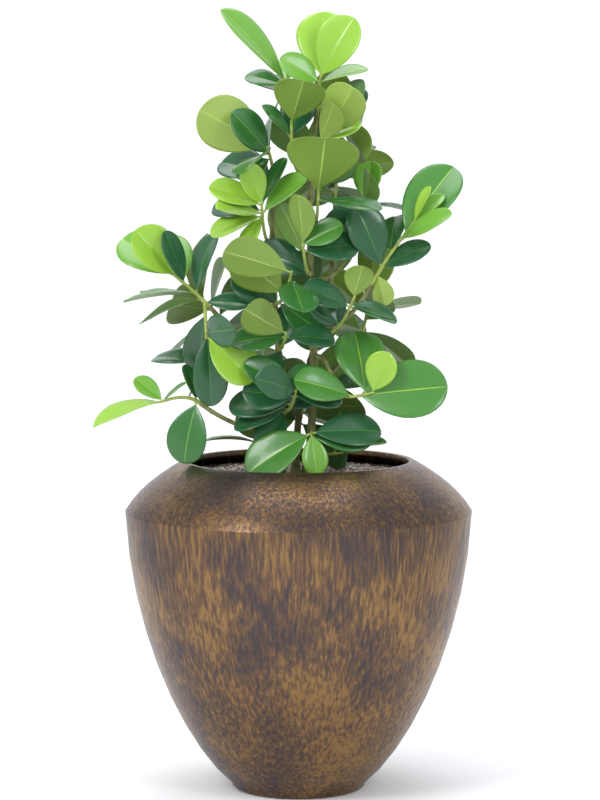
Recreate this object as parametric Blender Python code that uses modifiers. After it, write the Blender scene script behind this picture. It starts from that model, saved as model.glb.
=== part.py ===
"""A potted autograph tree: a bronze-coloured planter of turned form, filled to just
below its lip, and a young tree of three stems with thick, opposite, obovate leaves.

Metres, +Z up. The origin is the middle of the planter's flat underside, and the
front of the plant, the side it is usually seen from, faces -Y.
"""

import math
import random
from collections import namedtuple

import bmesh
import bpy
from mathutils import Matrix, Vector
from mathutils.bvhtree import BVHTree

# Planter
POT_HEIGHT = 0.475
LIP_OUTER_RADIUS = 0.166
LIP_WIDTH = 0.0075
LIP_ROUNDING = 0.0015
WIDEST_RADIUS = 0.249
WIDEST_HEIGHT = 0.396
FOOT_RADIUS = 0.090
FOOT_ROUNDING = 0.007
FLOOR_RADIUS = 0.088
WALL = 0.008
TURNED_STEPS = 40

# Filling
FILL_DROP = 0.023
FILL_TOP = POT_HEIGHT - FILL_DROP

# Gap kept between pieces that touch
GAP = 0.0003

# Leaf, as shares of its own length
PETIOLE_SHARE = 0.07
PETIOLE_HALF_WIDTH = 0.018
BLADE_HALF_WIDTH = 0.335
BLADE_BASE_POWER = 0.85
BLADE_TIP_POWER = 0.58
RIB_HALF_THICKNESS = 0.008
LEAF_STATIONS = (0.0, 0.10, 0.30, 0.56, 0.80, 0.95)
CLEAR_THICKNESS = 2.6

# Shoots
SHOOT_FOOT_RADIUS = 0.0030
SHOOT_TIP_RADIUS = 0.0019
SHOOT_POINTS = 6
LEAF_TRIES = 14
BUD_LENGTH = 0.004
BUD_TAPER = 0.55

# Sides of a round limb, as its curve's bevel resolution
STEM_SIDES = 2
SHOOT_SIDES = 1

# Leaf colours, from the brightest to the darkest
YOUNG_LEAF = "86A83A"
OLD_LEAF = "23502F"

# Stems: foot on the filling, tip, sway across the straight line, radius at foot and tip
STEMS = {
    "stem_centre": ((0.012, -0.006), (0.026, -0.002, 0.975), (0.006, 0.004), 0.0062, 0.0036),
    "stem_left": ((-0.026, -0.012), (-0.036, -0.008, 0.872), (0.004, -0.010), 0.0058, 0.0034),
    "stem_right": ((-0.004, 0.026), (0.052, 0.028, 0.830), (-0.008, 0.010), 0.0056, 0.0034),
}

# Boughs: stem, height they leave it at, tip, radius at foot and tip
BOUGHS = {
    "bough_left": ("stem_left", 0.650, (-0.126, -0.040, 0.698), 0.0036, 0.0030),
    "bough_lower_left": ("stem_left", 0.520, (-0.140, -0.052, 0.562), 0.0036, 0.0030),
    "bough_right": ("stem_centre", 0.668, (0.104, -0.030, 0.730), 0.0036, 0.0030),
    "bough_upper_right": ("stem_centre", 0.735, (0.078, 0.004, 0.798), 0.0034, 0.0029),
    "bough_lower_right": ("stem_centre", 0.626, (0.050, -0.046, 0.588), 0.0036, 0.0030),
    "bough_back_left": ("stem_left", 0.600, (-0.100, 0.080, 0.650), 0.0036, 0.0030),
    "bough_back_right": ("stem_right", 0.590, (0.084, 0.080, 0.640), 0.0036, 0.0030),
}

# A leaf that stands out: its place up the shoot; the way it points as seen from the front,
# where 0 is up and 90 is to the right; how far it comes forward out of that view; its
# length; the turn of its upper face away from the front, where 180 shows the underside;
# its breadth beside the common leaf; and its age, from 0, bright and young, to 1
Leaf = namedtuple("Leaf", "at clock forward length face breadth age", defaults=(15, 1.0, 0.6))

# A shoot: its tip, then what its rule needs. The pairs of leaves and their length; the
# turn of the top pair round the shoot, where 0 faces the front and 90 the right; the
# spread of the lowest and of the top pair; how far the blades lean to face the outside;
# and the age. Then the leaves that stand out.
Shoot = namedtuple("Shoot", "tip pairs leaf turn low top lean age leaves", defaults=((),))

# Masses: carrier, the height the stem leaves it at or None from its tip, and the shoots
MASSES = {
    "foliage_top": ("stem_centre", None, [
        Shoot((0.031, -0.006, 1.022), 1, 0.070, 100, 60, 60, 0.8, 0.2, (
            Leaf(1.0, 27, 14, 0.098, 20, 1.15, 0.0),
            Leaf(1.0, 3, -16, 0.104, 10, 1.1, 0.0),
        )),
        Shoot((0.064, 0.012, 0.958), 2, 0.072, 20, 60, 40, 0.8, 0.5, (
            Leaf(1.0, 25, 0, 0.058, 30, 0.9, 0.9),
        )),
    ]),
    "foliage_top_left": ("stem_centre", 0.925, [
        Shoot((-0.019, 0.004, 1.016), 1, 0.085, 30, 60, 60, 0.8, 0.5, (
            Leaf(1.0, -36, 5, 0.138, 50, 0.8, 0.3),
            Leaf(0.95, -68, -10, 0.062, 30, 0.9, 0.8),
            Leaf(0.95, -5, -10, 0.050, 20, 0.9, 0.4),
        )),
    ]),
    "foliage_top_front": ("stem_centre", 0.880, [
        Shoot((-0.010, -0.044, 0.958), 0, 0.090, 20, 60, 24, 0.8, 0.3, (
            Leaf(1.0, 15, 42, 0.096, 165, 1.2, 0.3),
            Leaf(0.8, -37, 10, 0.062, 50, 0.8, 0.7),
            Leaf(0.8, 8, -30, 0.080, 10, 1.0, 1.0),
        )),
        Shoot((0.034, -0.044, 0.940), 1, 0.090, 30, 60, 20, 0.8, 0.4, (
            Leaf(1.0, 32, 18, 0.088, 170, 1.15, 0.3),
            Leaf(0.9, 62, 0, 0.062, 30, 1.1, 0.0),
        )),
    ]),
    "foliage_upper_left": ("stem_left", None, [
        Shoot((-0.044, -0.022, 0.922), 2, 0.100, 150, 70, 70, 1.2, 0.7, (
            Leaf(1.0, -60, -5, 0.112, 160, 1.1, 0.3),
            Leaf(0.8, -36, 30, 0.086, 20, 0.95, 0.8),
            Leaf(0.7, -112, 35, 0.062, 20, 0.9, 0.6),
        )),
    ]),
    "foliage_upper_centre": ("stem_centre", 0.800, [
        Shoot((0.028, -0.062, 0.862), 2, 0.100, 60, 75, 75, 1.0, 0.8, (
            Leaf(1.0, 8, 40, 0.116, 175, 1.35, 0.5),
        )),
    ]),
    "foliage_centre_upper": ("stem_centre", 0.745, [
        Shoot((0.006, -0.060, 0.786), 2, 0.090, 80, 75, 75, 1.0, 0.8, (
            Leaf(1.0, -2, 22, 0.082, 150, 0.8, 0.5),
            Leaf(1.0, 58, 12, 0.064, 15, 1.0, 0.5),
            Leaf(0.8, -24, 5, 0.082, 150, 0.9, 0.7),
        )),
    ]),
    "foliage_mid_left": ("stem_left", 0.790, [
        Shoot((-0.052, -0.048, 0.842), 1, 0.086, 80, 80, 45, 1.0, 0.1, (
            Leaf(1.0, -62, 12, 0.080, 30, 0.95, 0.1),
            Leaf(1.0, -34, -5, 0.070, 20, 0.95, 0.0),
            Leaf(1.0, 20, 10, 0.076, 40, 0.6, 0.7),
            Leaf(0.9, -78, -20, 0.082, 20, 0.9, 0.9),
            Leaf(0.8, -98, 8, 0.082, 40, 0.9, 0.1),
            Leaf(0.8, -138, 20, 0.060, 30, 0.9, 0.0),
        )),
    ]),
    "foliage_left_fan": ("bough_left", None, [
        Shoot((-0.174, -0.050, 0.742), 0, 0.100, 70, 95, 28, 0.9, 0.4, (
            Leaf(1.0, -39, 18, 0.088, 10, 1.15, 0.0),
            Leaf(1.0, -50, -18, 0.104, 15, 1.05, 0.3),
            Leaf(0.75, -12, 25, 0.084, 40, 0.7, 0.9),
            Leaf(0.75, -24, -32, 0.100, 15, 1.0, 0.3),
            Leaf(0.4, 2, -8, 0.096, 50, 0.75, 0.8),
            Leaf(0.45, -90, -5, 0.103, 70, 0.85, 0.3),
            Leaf(0.25, -96, 26, 0.106, 90, 0.8, 0.8),
            Leaf(0.14, 85, 15, 0.062, 30, 0.9, 0.9),
        )),
        Shoot((-0.130, -0.072, 0.658), 1, 0.080, 150, 60, 60, 1.0, 0.8, (
            Leaf(1.0, 132, 12, 0.092, 10, 1.1, 0.1),
            Leaf(0.3, -170, -8, 0.098, 15, 0.85, 0.9),
            Leaf(0.9, 174, 2, 0.106, 15, 0.75, 0.9),
        )),
    ]),
    "foliage_left_mid": ("stem_left", 0.585, [
        Shoot((-0.148, -0.018, 0.616), 2, 0.080, 30, 75, 75, 1.0, 0.9, (
            Leaf(1.0, -92, 5, 0.086, 30, 1.05, 1.0),
        )),
    ]),
    "foliage_right_fan": ("bough_right", None, [
        Shoot((0.164, -0.032, 0.818), 0, 0.100, 80, 80, 22, 0.8, 0.5, (
            Leaf(1.0, 20, 8, 0.056, 50, 0.6, 0.0),
            Leaf(1.0, 40, 0, 0.058, 30, 0.7, 0.1),
            Leaf(0.75, 33, -14, 0.134, 20, 0.9, 0.5),
            Leaf(0.70, 55, 26, 0.088, 40, 0.75, 0.2),
            Leaf(0.25, -19, 16, 0.098, 15, 0.95, 0.9),
            Leaf(0.25, 56, 12, 0.078, 30, 0.85, 0.9),
            Leaf(0.15, 172, 10, 0.048, 160, 1.1, 0.3),
            Leaf(0.5, 0, -40, 0.080, 30, 0.9, 0.7),
        )),
    ]),
    "foliage_upper_right": ("bough_upper_right", None, [
        Shoot((0.096, 0.012, 0.846), 2, 0.086, 30, 70, 70, 0.8, 0.7, (
            Leaf(1.0, 6, -5, 0.060, 20, 1.15, 0.2),
            Leaf(0.9, 88, 5, 0.066, 60, 0.8, 0.8),
        )),
    ]),
    "foliage_centre": ("stem_left", 0.700, [
        Shoot((-0.010, -0.076, 0.748), 2, 0.086, 20, 70, 70, 1.0, 0.7, (
            Leaf(1.0, -68, 12, 0.110, 150, 0.85, 0.5),
            Leaf(0.5, -50, 22, 0.104, 160, 1.0, 0.5),
        )),
    ]),
    "foliage_centre_low": ("stem_left", 0.635, [
        Shoot((-0.018, -0.066, 0.662), 2, 0.080, 110, 80, 80, 1.0, 0.8, (
            Leaf(1.0, -56, 25, 0.082, 160, 1.0, 0.5),
        )),
    ]),
    "foliage_right_mid": ("stem_centre", 0.655, [
        Shoot((0.078, -0.066, 0.712), 1, 0.070, 100, 80, 80, 1.0, 0.8, (
            Leaf(1.0, 12, 20, 0.054, 165, 1.2, 0.4),
            Leaf(0.9, 96, 5, 0.062, 40, 0.85, 0.9),
            Leaf(0.5, -30, 10, 0.066, 20, 0.9, 0.9),
        )),
    ]),
    "foliage_lower_left": ("bough_lower_left", None, [
        Shoot((-0.192, -0.062, 0.566), 0, 0.108, 60, 95, 65, 1.0, 0.6, (
            Leaf(1.0, -101, 8, 0.106, 55, 0.9, 0.15),
            Leaf(1.0, -48, 0, 0.052, 20, 0.9, 0.4),
            Leaf(1.0, 44, -10, 0.042, 60, 0.7, 0.5),
            Leaf(0.1, -169, 12, 0.094, 10, 1.0, 0.9),
            Leaf(0.1, -8, -5, 0.056, 50, 0.8, 0.8),
        )),
    ]),
    "foliage_lower_centre": ("stem_left", 0.548, [
        Shoot((-0.004, -0.070, 0.580), 2, 0.080, 110, 80, 80, 1.2, 0.9, (
            Leaf(1.0, -52, 20, 0.086, 20, 0.9, 0.8),
            Leaf(1.0, -74, 30, 0.088, 15, 0.9, 1.0),
            Leaf(0.6, -84, 0, 0.092, 20, 0.9, 1.0),
            Leaf(0.4, -100, 10, 0.084, 40, 0.8, 1.0),
        )),
    ]),
    "foliage_lower_right": ("bough_lower_right", None, [
        Shoot((0.104, -0.066, 0.578), 0, 0.128, 0, 88, 40, 1.0, 0.5, (
            Leaf(0.62, 80, 14, 0.132, -5, 1.0, 0.6),
            Leaf(1.0, 14, 8, 0.066, 15, 1.15, 0.0),
            Leaf(0.85, -8, -20, 0.102, 10, 1.15, 0.5),
            Leaf(0.85, 48, -24, 0.062, 20, 1.0, 0.7),
            Leaf(0.55, -73, 14, 0.092, 20, 0.95, 0.6),
            Leaf(0.14, -66, 12, 0.078, 20, 0.9, 0.7),
            Leaf(0.14, 60, -40, 0.070, 20, 0.9, 0.9),
        )),
    ]),
    "foliage_front_low": ("stem_centre", 0.492, [
        Shoot((0.018, -0.062, 0.520), 1, 0.100, 90, 100, 75, 1.2, 0.6, (
            Leaf(1.0, -118, 10, 0.109, 15, 1.0, 0.6),
            Leaf(1.0, 83, 0, 0.102, 20, 0.85, 0.9),
            Leaf(1.0, 170, 25, 0.060, 10, 1.0, 0.3),
            Leaf(0.9, 76, 42, 0.066, 40, 0.8, 0.2),
        )),
    ]),
    "foliage_low_right": ("stem_right", 0.480, [
        Shoot((0.060, -0.010, 0.486), 1, 0.062, 60, 80, 80, 1.0, 0.5, (
            Leaf(1.0, 64, 10, 0.070, 60, 0.8, 0.4),
        )),
    ]),
    "foliage_low_left": ("stem_left", 0.495, [
        Shoot((-0.060, 0.010, 0.500), 1, 0.062, 60, 80, 80, 1.0, 0.7, (
            Leaf(1.0, -76, 5, 0.074, 75, 0.8, 0.6),
        )),
    ]),
    "foliage_back_top": ("stem_centre", 0.860, [
        Shoot((0.030, 0.066, 0.950), 3, 0.104, 30, 75, 30, 0.8, 0.5),
    ]),
    "foliage_back_upper": ("stem_right", None, [
        Shoot((0.056, 0.060, 0.880), 4, 0.104, 60, 80, 30, 0.8, 0.5),
    ]),
    "foliage_back_mid": ("stem_right", 0.700, [
        Shoot((-0.010, 0.104, 0.765), 3, 0.104, 30, 85, 40, 1.0, 0.6),
    ]),
    "foliage_back_left": ("bough_back_left", None, [
        Shoot((-0.140, 0.092, 0.700), 4, 0.104, 60, 95, 40, 1.0, 0.5),
    ]),
    "foliage_back_right": ("bough_back_right", None, [
        Shoot((0.100, 0.108, 0.700), 4, 0.092, 20, 95, 35, 1.0, 0.5),
    ]),
    "foliage_back_low": ("stem_right", 0.520, [
        Shoot((0.010, 0.120, 0.575), 4, 0.104, 60, 100, 60, 1.0, 0.6),
    ]),
}


def bezier(points, share):
    """The point at this share of a Bezier curve of any degree."""
    points = list(points)
    while len(points) > 1:
        points = [a.lerp(b, share) for a, b in zip(points, points[1:])]
    return points[0]


def curve_points(points, count):
    return [bezier(points, i / (count - 1)) for i in range(count)]


def tapered(foot_radius, tip_radius, count):
    """Radii that fall evenly from a limb's foot to its tip."""
    return [foot_radius + (tip_radius - foot_radius) * i / (count - 1) for i in range(count)]


# The planter's turned profile


def arc(centre, radius, start, end, count):
    """Points on an arc in the profile's plane, where x is the radius; angles in degrees."""
    found = []
    for i in range(count):
        angle = math.radians(start + (end - start) * i / (count - 1))
        found.append(Vector((centre[0] + radius * math.cos(angle), centre[1] + radius * math.sin(angle))))
    return found


def outer_profile():
    """The planter's outside, from the lip's outer edge down to the rounded foot."""
    widest = Vector((WIDEST_RADIUS, WIDEST_HEIGHT))
    shoulder = curve_points(
        [Vector((LIP_OUTER_RADIUS, POT_HEIGHT)), Vector((0.228, 0.441)), Vector((0.2495, 0.403))], 7
    )
    foot_corner = Vector((FOOT_RADIUS + FOOT_ROUNDING, FOOT_ROUNDING))
    body = curve_points(
        [widest, Vector((0.241, 0.225)), Vector((0.166, 0.062)), foot_corner], 10
    )
    return shoulder + body


def offset(profile, distance):
    """The profile moved inwards by a distance, square to its own run."""
    moved = []
    for i, point in enumerate(profile):
        before = profile[max(i - 1, 0)]
        after = profile[min(i + 1, len(profile) - 1)]
        along = (after - before).normalized()
        moved.append(point + distance * Vector((along.y, -along.x)))
    return moved


def pot_profile():
    """The whole wall's section, from the middle of its inner floor over the lip to the
    middle of the underside."""
    outside = outer_profile()
    inside = [point for point in offset(outside, WALL) if point.y > WALL + FOOT_ROUNDING]
    lip_inner = LIP_OUTER_RADIUS - LIP_WIDTH
    under_lip = [p for p in inside if p.y < WIDEST_HEIGHT or p.x > lip_inner + LIP_ROUNDING]
    corner = arc((lip_inner + LIP_ROUNDING, POT_HEIGHT - LIP_ROUNDING), LIP_ROUNDING, 180, 90, 3)
    foot = arc((FOOT_RADIUS, FOOT_ROUNDING), FOOT_ROUNDING, 0, -90, 4)
    floor = [Vector((0.0, WALL)), Vector((FLOOR_RADIUS, WALL))]
    collar = [Vector((lip_inner, under_lip[0].y))]
    return floor + under_lip[::-1] + collar + corner + outside + foot[1:] + [Vector((0.0, 0.0))]


def filling_profile():
    """The filling's section: the planter's inside, a gap smaller, cut level below the lip."""
    inside = [point for point in offset(outer_profile(), WALL + GAP) if point.y > WALL + FOOT_ROUNDING]
    below = [point for point in inside if point.y < FILL_TOP - 0.002]
    above = [point for point in inside if point.y >= FILL_TOP - 0.002]
    share = (FILL_TOP - below[0].y) / (above[-1].y - below[0].y)
    edge = below[0].lerp(above[-1], share)
    bottom = WALL + GAP
    return [Vector((0.0, FILL_TOP)), edge] + below + [
        Vector((FLOOR_RADIUS - GAP, bottom)),
        Vector((0.0, bottom)),
    ]


# Scene, materials and objects


def clear_scene():
    for thing in list(bpy.data.objects):
        bpy.data.objects.remove(thing, do_unlink=True)
    for thing in list(bpy.data.collections):
        bpy.data.collections.remove(thing)


def new_collection(name):
    made = bpy.data.collections.new(name)
    bpy.context.scene.collection.children.link(made)
    return made


def new_material(name, colour, roughness, metallic=0.0):
    made = bpy.data.materials.new(name)
    made.use_nodes = True
    shader = made.node_tree.nodes["Principled BSDF"]
    shader.inputs["Base Color"].default_value = (*colour, 1.0)
    shader.inputs["Roughness"].default_value = roughness
    shader.inputs["Metallic"].default_value = metallic
    return made


def new_object(name, data, collection, material=None):
    made = bpy.data.objects.new(name, data)
    collection.objects.link(made)
    if material is not None:
        data.materials.append(material)
    return made


def evaluated_mesh(obj):
    """The object's shape with its modifiers, as a new mesh."""
    bpy.context.view_layer.update()
    graph = bpy.context.evaluated_depsgraph_get()
    return bpy.data.meshes.new_from_object(obj.evaluated_get(graph))


def turned(name, profile, collection, material):
    """A profile turned round the Z axis by a Screw modifier."""
    mesh = bpy.data.meshes.new(name)
    corners = [(point.x, 0.0, point.y) for point in profile]
    mesh.from_pydata(corners, [(i, i + 1) for i in range(len(corners) - 1)], [])
    made = new_object(name, mesh, collection, material)
    screw = made.modifiers.new("turned", "SCREW")
    screw.steps = TURNED_STEPS
    screw.render_steps = TURNED_STEPS
    screw.use_merge_vertices = True
    screw.merge_threshold = 0.0001
    screw.use_smooth_shade = True
    return made


def limb_curve(name, points, radii, sides):
    """A round tapering limb along points: a curve with a bevel and closed ends."""
    curve = bpy.data.curves.new(name, "CURVE")
    curve.dimensions = "3D"
    curve.bevel_depth = 1.0
    curve.bevel_resolution = sides
    curve.use_fill_caps = True
    spline = curve.splines.new("POLY")
    spline.points.add(len(points) - 1)
    for knot, point, radius in zip(spline.points, points, radii):
        knot.co = (*point, 1.0)
        knot.radius = radius
    return curve


def limb_mesh(name, points, radii, sides):
    """The limb as a mesh whose end caps are welded to its side."""
    curve = limb_curve(name, points, radii, sides)
    holder = bpy.data.objects.new(name, curve)
    bpy.context.scene.collection.objects.link(holder)
    mesh = evaluated_mesh(holder)
    bpy.data.objects.remove(holder)
    bpy.data.curves.remove(curve)
    work = bmesh.new()
    work.from_mesh(mesh)
    bmesh.ops.remove_doubles(work, verts=work.verts, dist=1e-6)
    bmesh.ops.recalc_face_normals(work, faces=work.faces)
    work.to_mesh(mesh)
    work.free()
    return mesh


# The limbs' runs


def stem_run(name):
    """A stem's points and radii: upright at its cut foot, flared there, then a slow sway."""
    foot, tip, sway, foot_radius, tip_radius = STEMS[name]
    base = Vector((foot[0], foot[1], FILL_TOP + GAP))
    top = Vector(tip)
    points = [base]
    radii = [foot_radius * 1.7]
    count = 15
    for i in range(1, count):
        share = i / (count - 1)
        point = base.lerp(top, share)
        bend = math.sin(2 * math.pi * share)
        point.x += sway[0] * bend
        point.y += sway[1] * bend
        points.append(point)
        radii.append(foot_radius + (tip_radius - foot_radius) * share)
    rise = 0.012
    points.insert(1, base + Vector((0.0, 0.0, rise)))
    radii.insert(1, foot_radius * 1.18)
    return points, radii


def point_at_height(points, radii, height):
    """Where a run passes a height: the point, the limb's radius and its direction there."""
    for a, b, ra, rb in zip(points, points[1:], radii, radii[1:]):
        if a.z <= height <= b.z:
            share = (height - a.z) / (b.z - a.z)
            return a.lerp(b, share), ra + (rb - ra) * share, (b - a).normalized()
    return points[-1], radii[-1], (points[-1] - points[-2]).normalized()


def side_start(run, height, target, radius):
    """The foot of a side limb: its point just off the bark, and its way out from it."""
    centre, carrier_radius, along = point_at_height(*run, height)
    out = target - centre
    out -= out.dot(along) * along
    out.normalize()
    return centre + out * (carrier_radius + GAP), out


def side_run(start, out, target, foot_radius, tip_radius, count):
    """A side limb from its foot, square to its carrier at first, then up to its tip."""
    reach = (target - start).length
    near = start + out * min(0.006, reach * 0.2)
    bend = near + out * reach * 0.42
    points = [start] + curve_points([near, bend, target], count - 1)
    radii = tapered(foot_radius, tip_radius, count)
    return points, radii


def run_on(start, along, target, foot_radius, tip_radius, count):
    """A limb that carries on from another's tip, with its ends a gap apart."""
    begin = start + along * GAP
    reach = (target - begin).length
    points = [begin, begin + along * 0.004]
    points += curve_points([points[1], points[1] + along * reach * 0.4, target], count - 1)[1:]
    radii = tapered(foot_radius, tip_radius, len(points))
    return points, radii


# The leaf


def half_width(share):
    """Half the blade's width as a share of its length: a narrow stalk, then obovate."""
    blade = min(max((share - PETIOLE_SHARE) / (1 - PETIOLE_SHARE), 0.0), 1.0)
    widest = BLADE_BASE_POWER / (BLADE_BASE_POWER + BLADE_TIP_POWER)
    swell = (blade / widest) ** BLADE_BASE_POWER * ((1 - blade) / (1 - widest)) ** BLADE_TIP_POWER
    return max(PETIOLE_HALF_WIDTH * (1 - blade), BLADE_HALF_WIDTH * swell)


def leaf_frame(leaf, share):
    """The midrib's point, its direction and the upper face's normal at a share of the
    length. The midrib is an arc that bends away from the upper face."""
    length, bend = leaf["length"], leaf["bend"]
    turned_by = bend * share
    if abs(bend) < 1e-4:
        along, drop = length * share, 0.0
    else:
        along = length * math.sin(turned_by) / bend
        drop = length * (1 - math.cos(turned_by)) / bend
    way, up = leaf["way"], leaf["up"]
    point = leaf["root"] + way * along - up * drop
    way_here = way * math.cos(turned_by) - up * math.sin(turned_by)
    up_here = up * math.cos(turned_by) + way * math.sin(turned_by)
    return point, way_here, up_here


def leaf_shape(leaf, thickness=1.0):
    """Corners and faces of a leaf: a diamond section at each station, folded up along
    the midrib, drawn out to one point at the tip."""
    corners = []
    faces = []
    for share in LEAF_STATIONS:
        point, way, up = leaf_frame(leaf, share)
        side = way.cross(up).normalized()
        half = half_width(share) * leaf["length"] * leaf["breadth"]
        deep = RIB_HALF_THICKNESS * leaf["length"] * thickness
        fold = leaf["fold"]
        rise = up * half * math.sin(fold)
        reach = half * math.cos(fold)
        corners += [point + side * reach + rise, point + up * deep, point - side * reach + rise, point - up * deep]
    tip, way, up = leaf_frame(leaf, 1.0)
    corners.append(tip)
    last = len(corners) - 1
    for ring in range(len(LEAF_STATIONS) - 1):
        low = ring * 4
        for side in range(4):
            after = (side + 1) % 4
            faces.append((low + side, low + after, low + 4 + after, low + 4 + side))
    low = (len(LEAF_STATIONS) - 1) * 4
    for side in range(4):
        faces.append((low + side, low + (side + 1) % 4, last))
    faces.append((3, 2, 1, 0))
    return corners, faces


def outward(point):
    """The level way out from the plant's middle, with some of the way up."""
    flat = Vector((point.x, point.y, 0.0))
    return (flat.normalized() if flat.length > 1e-6 else Vector((0.0, -1.0, 0.0)))


def new_leaf(root, way, up, length, breadth, age, chance):
    """A leaf from its root, the way its midrib sets out and the way its upper face looks."""
    young = 1 - age
    return {
        "root": root,
        "way": way,
        "up": up,
        "length": length,
        "bend": math.radians(chance.uniform(8, 20) + 12 * age),
        "fold": math.radians(chance.uniform(8, 16) + 8 * young),
        "breadth": breadth,
        "age": age,
    }


def ruled_leaf(node, axis, angle, spread, length, lean, age, chance):
    """A leaf at a node of a shoot by the shoot's rule: an angle round the axis, a spread
    away from it, and an upper face that looks up the shoot and leans to the outside."""
    front = Vector((0.0, -1.0, 0.0))
    front -= front.dot(axis) * axis
    front.normalize()
    side = axis.cross(front)
    out = front * math.cos(angle) + side * math.sin(angle)
    way = axis * math.cos(spread) + out * math.sin(spread)
    up = axis * math.sin(spread) - out * math.cos(spread)
    face = outward(node + way * length * 0.6) + Vector((0.0, 0.0, 0.25))
    up = up + face.normalized() * lean
    up -= up.dot(way) * way
    up = Matrix.Rotation(chance.uniform(-0.35, 0.35), 3, way) @ up.normalized()
    return new_leaf(node, way, up, length, chance.uniform(0.9, 1.08), age, chance)


def chosen_leaf(node, row, wander, chance):
    """A leaf that stands out, from its row, wandering a little to find clear space."""
    clock = math.radians(row.clock) + chance.uniform(-wander, wander)
    forward = math.radians(row.forward) + chance.uniform(-wander, wander) * 1.5
    way = Vector((
        math.sin(clock) * math.cos(forward),
        -math.sin(forward),
        math.cos(clock) * math.cos(forward),
    ))
    up = Vector((0.0, -1.0, 0.35))
    up -= up.dot(way) * way
    turn = math.radians(row.face) * (1 if math.sin(clock) < 0 else -1)
    up = Matrix.Rotation(turn + chance.uniform(-wander, wander), 3, way) @ up.normalized()
    return new_leaf(node, way, up, row.length, row.breadth, row.age, chance)


def tree_of(corners, faces):
    return BVHTree.FromPolygons(corners, faces, epsilon=0.0)


class Space:
    """What already stands in the crown, so that each new leaf or twig keeps clear."""

    def __init__(self):
        self.taken = []

    def add(self, owner, corners, faces):
        low = Vector([min(c[i] for c in corners) for i in range(3)])
        high = Vector([max(c[i] for c in corners) for i in range(3)])
        self.taken.append((owner, low, high, tree_of(corners, faces)))

    def clear(self, corners, faces, leave_out=()):
        low = Vector([min(c[i] for c in corners) for i in range(3)])
        high = Vector([max(c[i] for c in corners) for i in range(3)])
        tree = None
        for owner, other_low, other_high, other in self.taken:
            if owner in leave_out:
                continue
            if any(high[i] < other_low[i] or low[i] > other_high[i] for i in range(3)):
                continue
            if tree is None:
                tree = tree_of(corners, faces)
            if tree.overlap(other):
                return False
        return True


def turned_shape(profile, steps=32):
    """Corners and faces of a turned profile, for testing clearance only."""
    corners = []
    for k in range(steps):
        angle = 2 * math.pi * k / steps
        corners += [Vector((p.x * math.cos(angle), p.x * math.sin(angle), p.y)) for p in profile]
    faces = []
    count = len(profile)
    for k in range(steps):
        here, after = k * count, (k + 1) % steps * count
        for i in range(count - 1):
            faces.append((here + i, here + i + 1, after + i + 1, after + i))
    return corners, faces


def tube(points, radii, sides=6):
    """Corners and faces of a plain tube, for testing clearance only."""
    corners = []
    faces = []
    for i, (point, radius) in enumerate(zip(points, radii)):
        along = (points[min(i + 1, len(points) - 1)] - points[max(i - 1, 0)]).normalized()
        across = along.orthogonal().normalized()
        other = along.cross(across)
        for k in range(sides):
            angle = 2 * math.pi * k / sides
            corners.append(point + (across * math.cos(angle) + other * math.sin(angle)) * radius)
    for i in range(len(points) - 1):
        for k in range(sides):
            after = (k + 1) % sides
            faces.append((i * sides + k, i * sides + after, (i + 1) * sides + after, (i + 1) * sides + k))
    return corners, faces


def run_at(points, share):
    """The point and the direction at a share of a run's length."""
    lengths = [(b - a).length for a, b in zip(points, points[1:])]
    wanted = share * sum(lengths)
    for i, length in enumerate(lengths):
        if wanted <= length or i == len(lengths) - 1:
            a, b = points[i], points[i + 1]
            return a.lerp(b, min(wanted / length, 1.0)), (b - a).normalized()
        wanted -= length
    return points[-1], (points[-1] - points[-2]).normalized()


def settle(mass, index, make, space):
    """The first try at a leaf that stands clear of everything else, or None."""
    for attempt in range(LEAF_TRIES):
        leaf = make(0.03 + 0.05 * attempt, 1 - 0.012 * attempt)
        corners, faces = leaf_shape(leaf, CLEAR_THICKNESS)
        corners = corners[4:]
        faces = [tuple(c - 4 for c in face) for face in faces[4:-1]]
        if space.clear(corners, faces, ("twig " + mass + str(index),)):
            space.add("leaf " + mass, corners, faces)
            return leaf
    return None


def chosen_leaves(mass, index, run, shoot, space, chance):
    """The leaves of a shoot that stand out."""
    leaves = []
    for row in shoot.leaves:
        node, _ = run_at(run[0], row.at)

        def make(wander, share):
            leaf = chosen_leaf(node, row, wander, chance)
            leaf["length"] *= share
            return leaf

        leaves.append(settle(mass, index, make, space))
    return [leaf for leaf in leaves if leaf]


def ruled_leaves(mass, index, run, shoot, space, chance):
    """Pairs of leaves along a shoot, each pair turned square to the next. The top pair
    is young and upright, and the lower ones spread."""
    leaves = []
    for pair in range(shoot.pairs):
        from_top = pair / max(shoot.pairs - 1, 1)
        node, axis = run_at(run[0], 1.0 - 0.15 * bool(shoot.leaves) - 0.72 * from_top ** 0.85)
        age = shoot.age + (1 - shoot.age) * 0.6 * from_top
        spread = math.radians(shoot.top + (shoot.low - shoot.top) * from_top)
        for half in range(2):
            angle = math.radians(shoot.turn + 90 * pair + 180 * half)

            def make(wander, share):
                return ruled_leaf(
                    node,
                    axis,
                    angle + chance.uniform(-wander, wander) * 1.6,
                    spread + chance.uniform(-wander, wander),
                    shoot.leaf * share * chance.uniform(0.92, 1.06),
                    shoot.lean,
                    age,
                    chance,
                )

            leaves.append(settle(mass, index, make, space))
    return [leaf for leaf in leaves if leaf]


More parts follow.
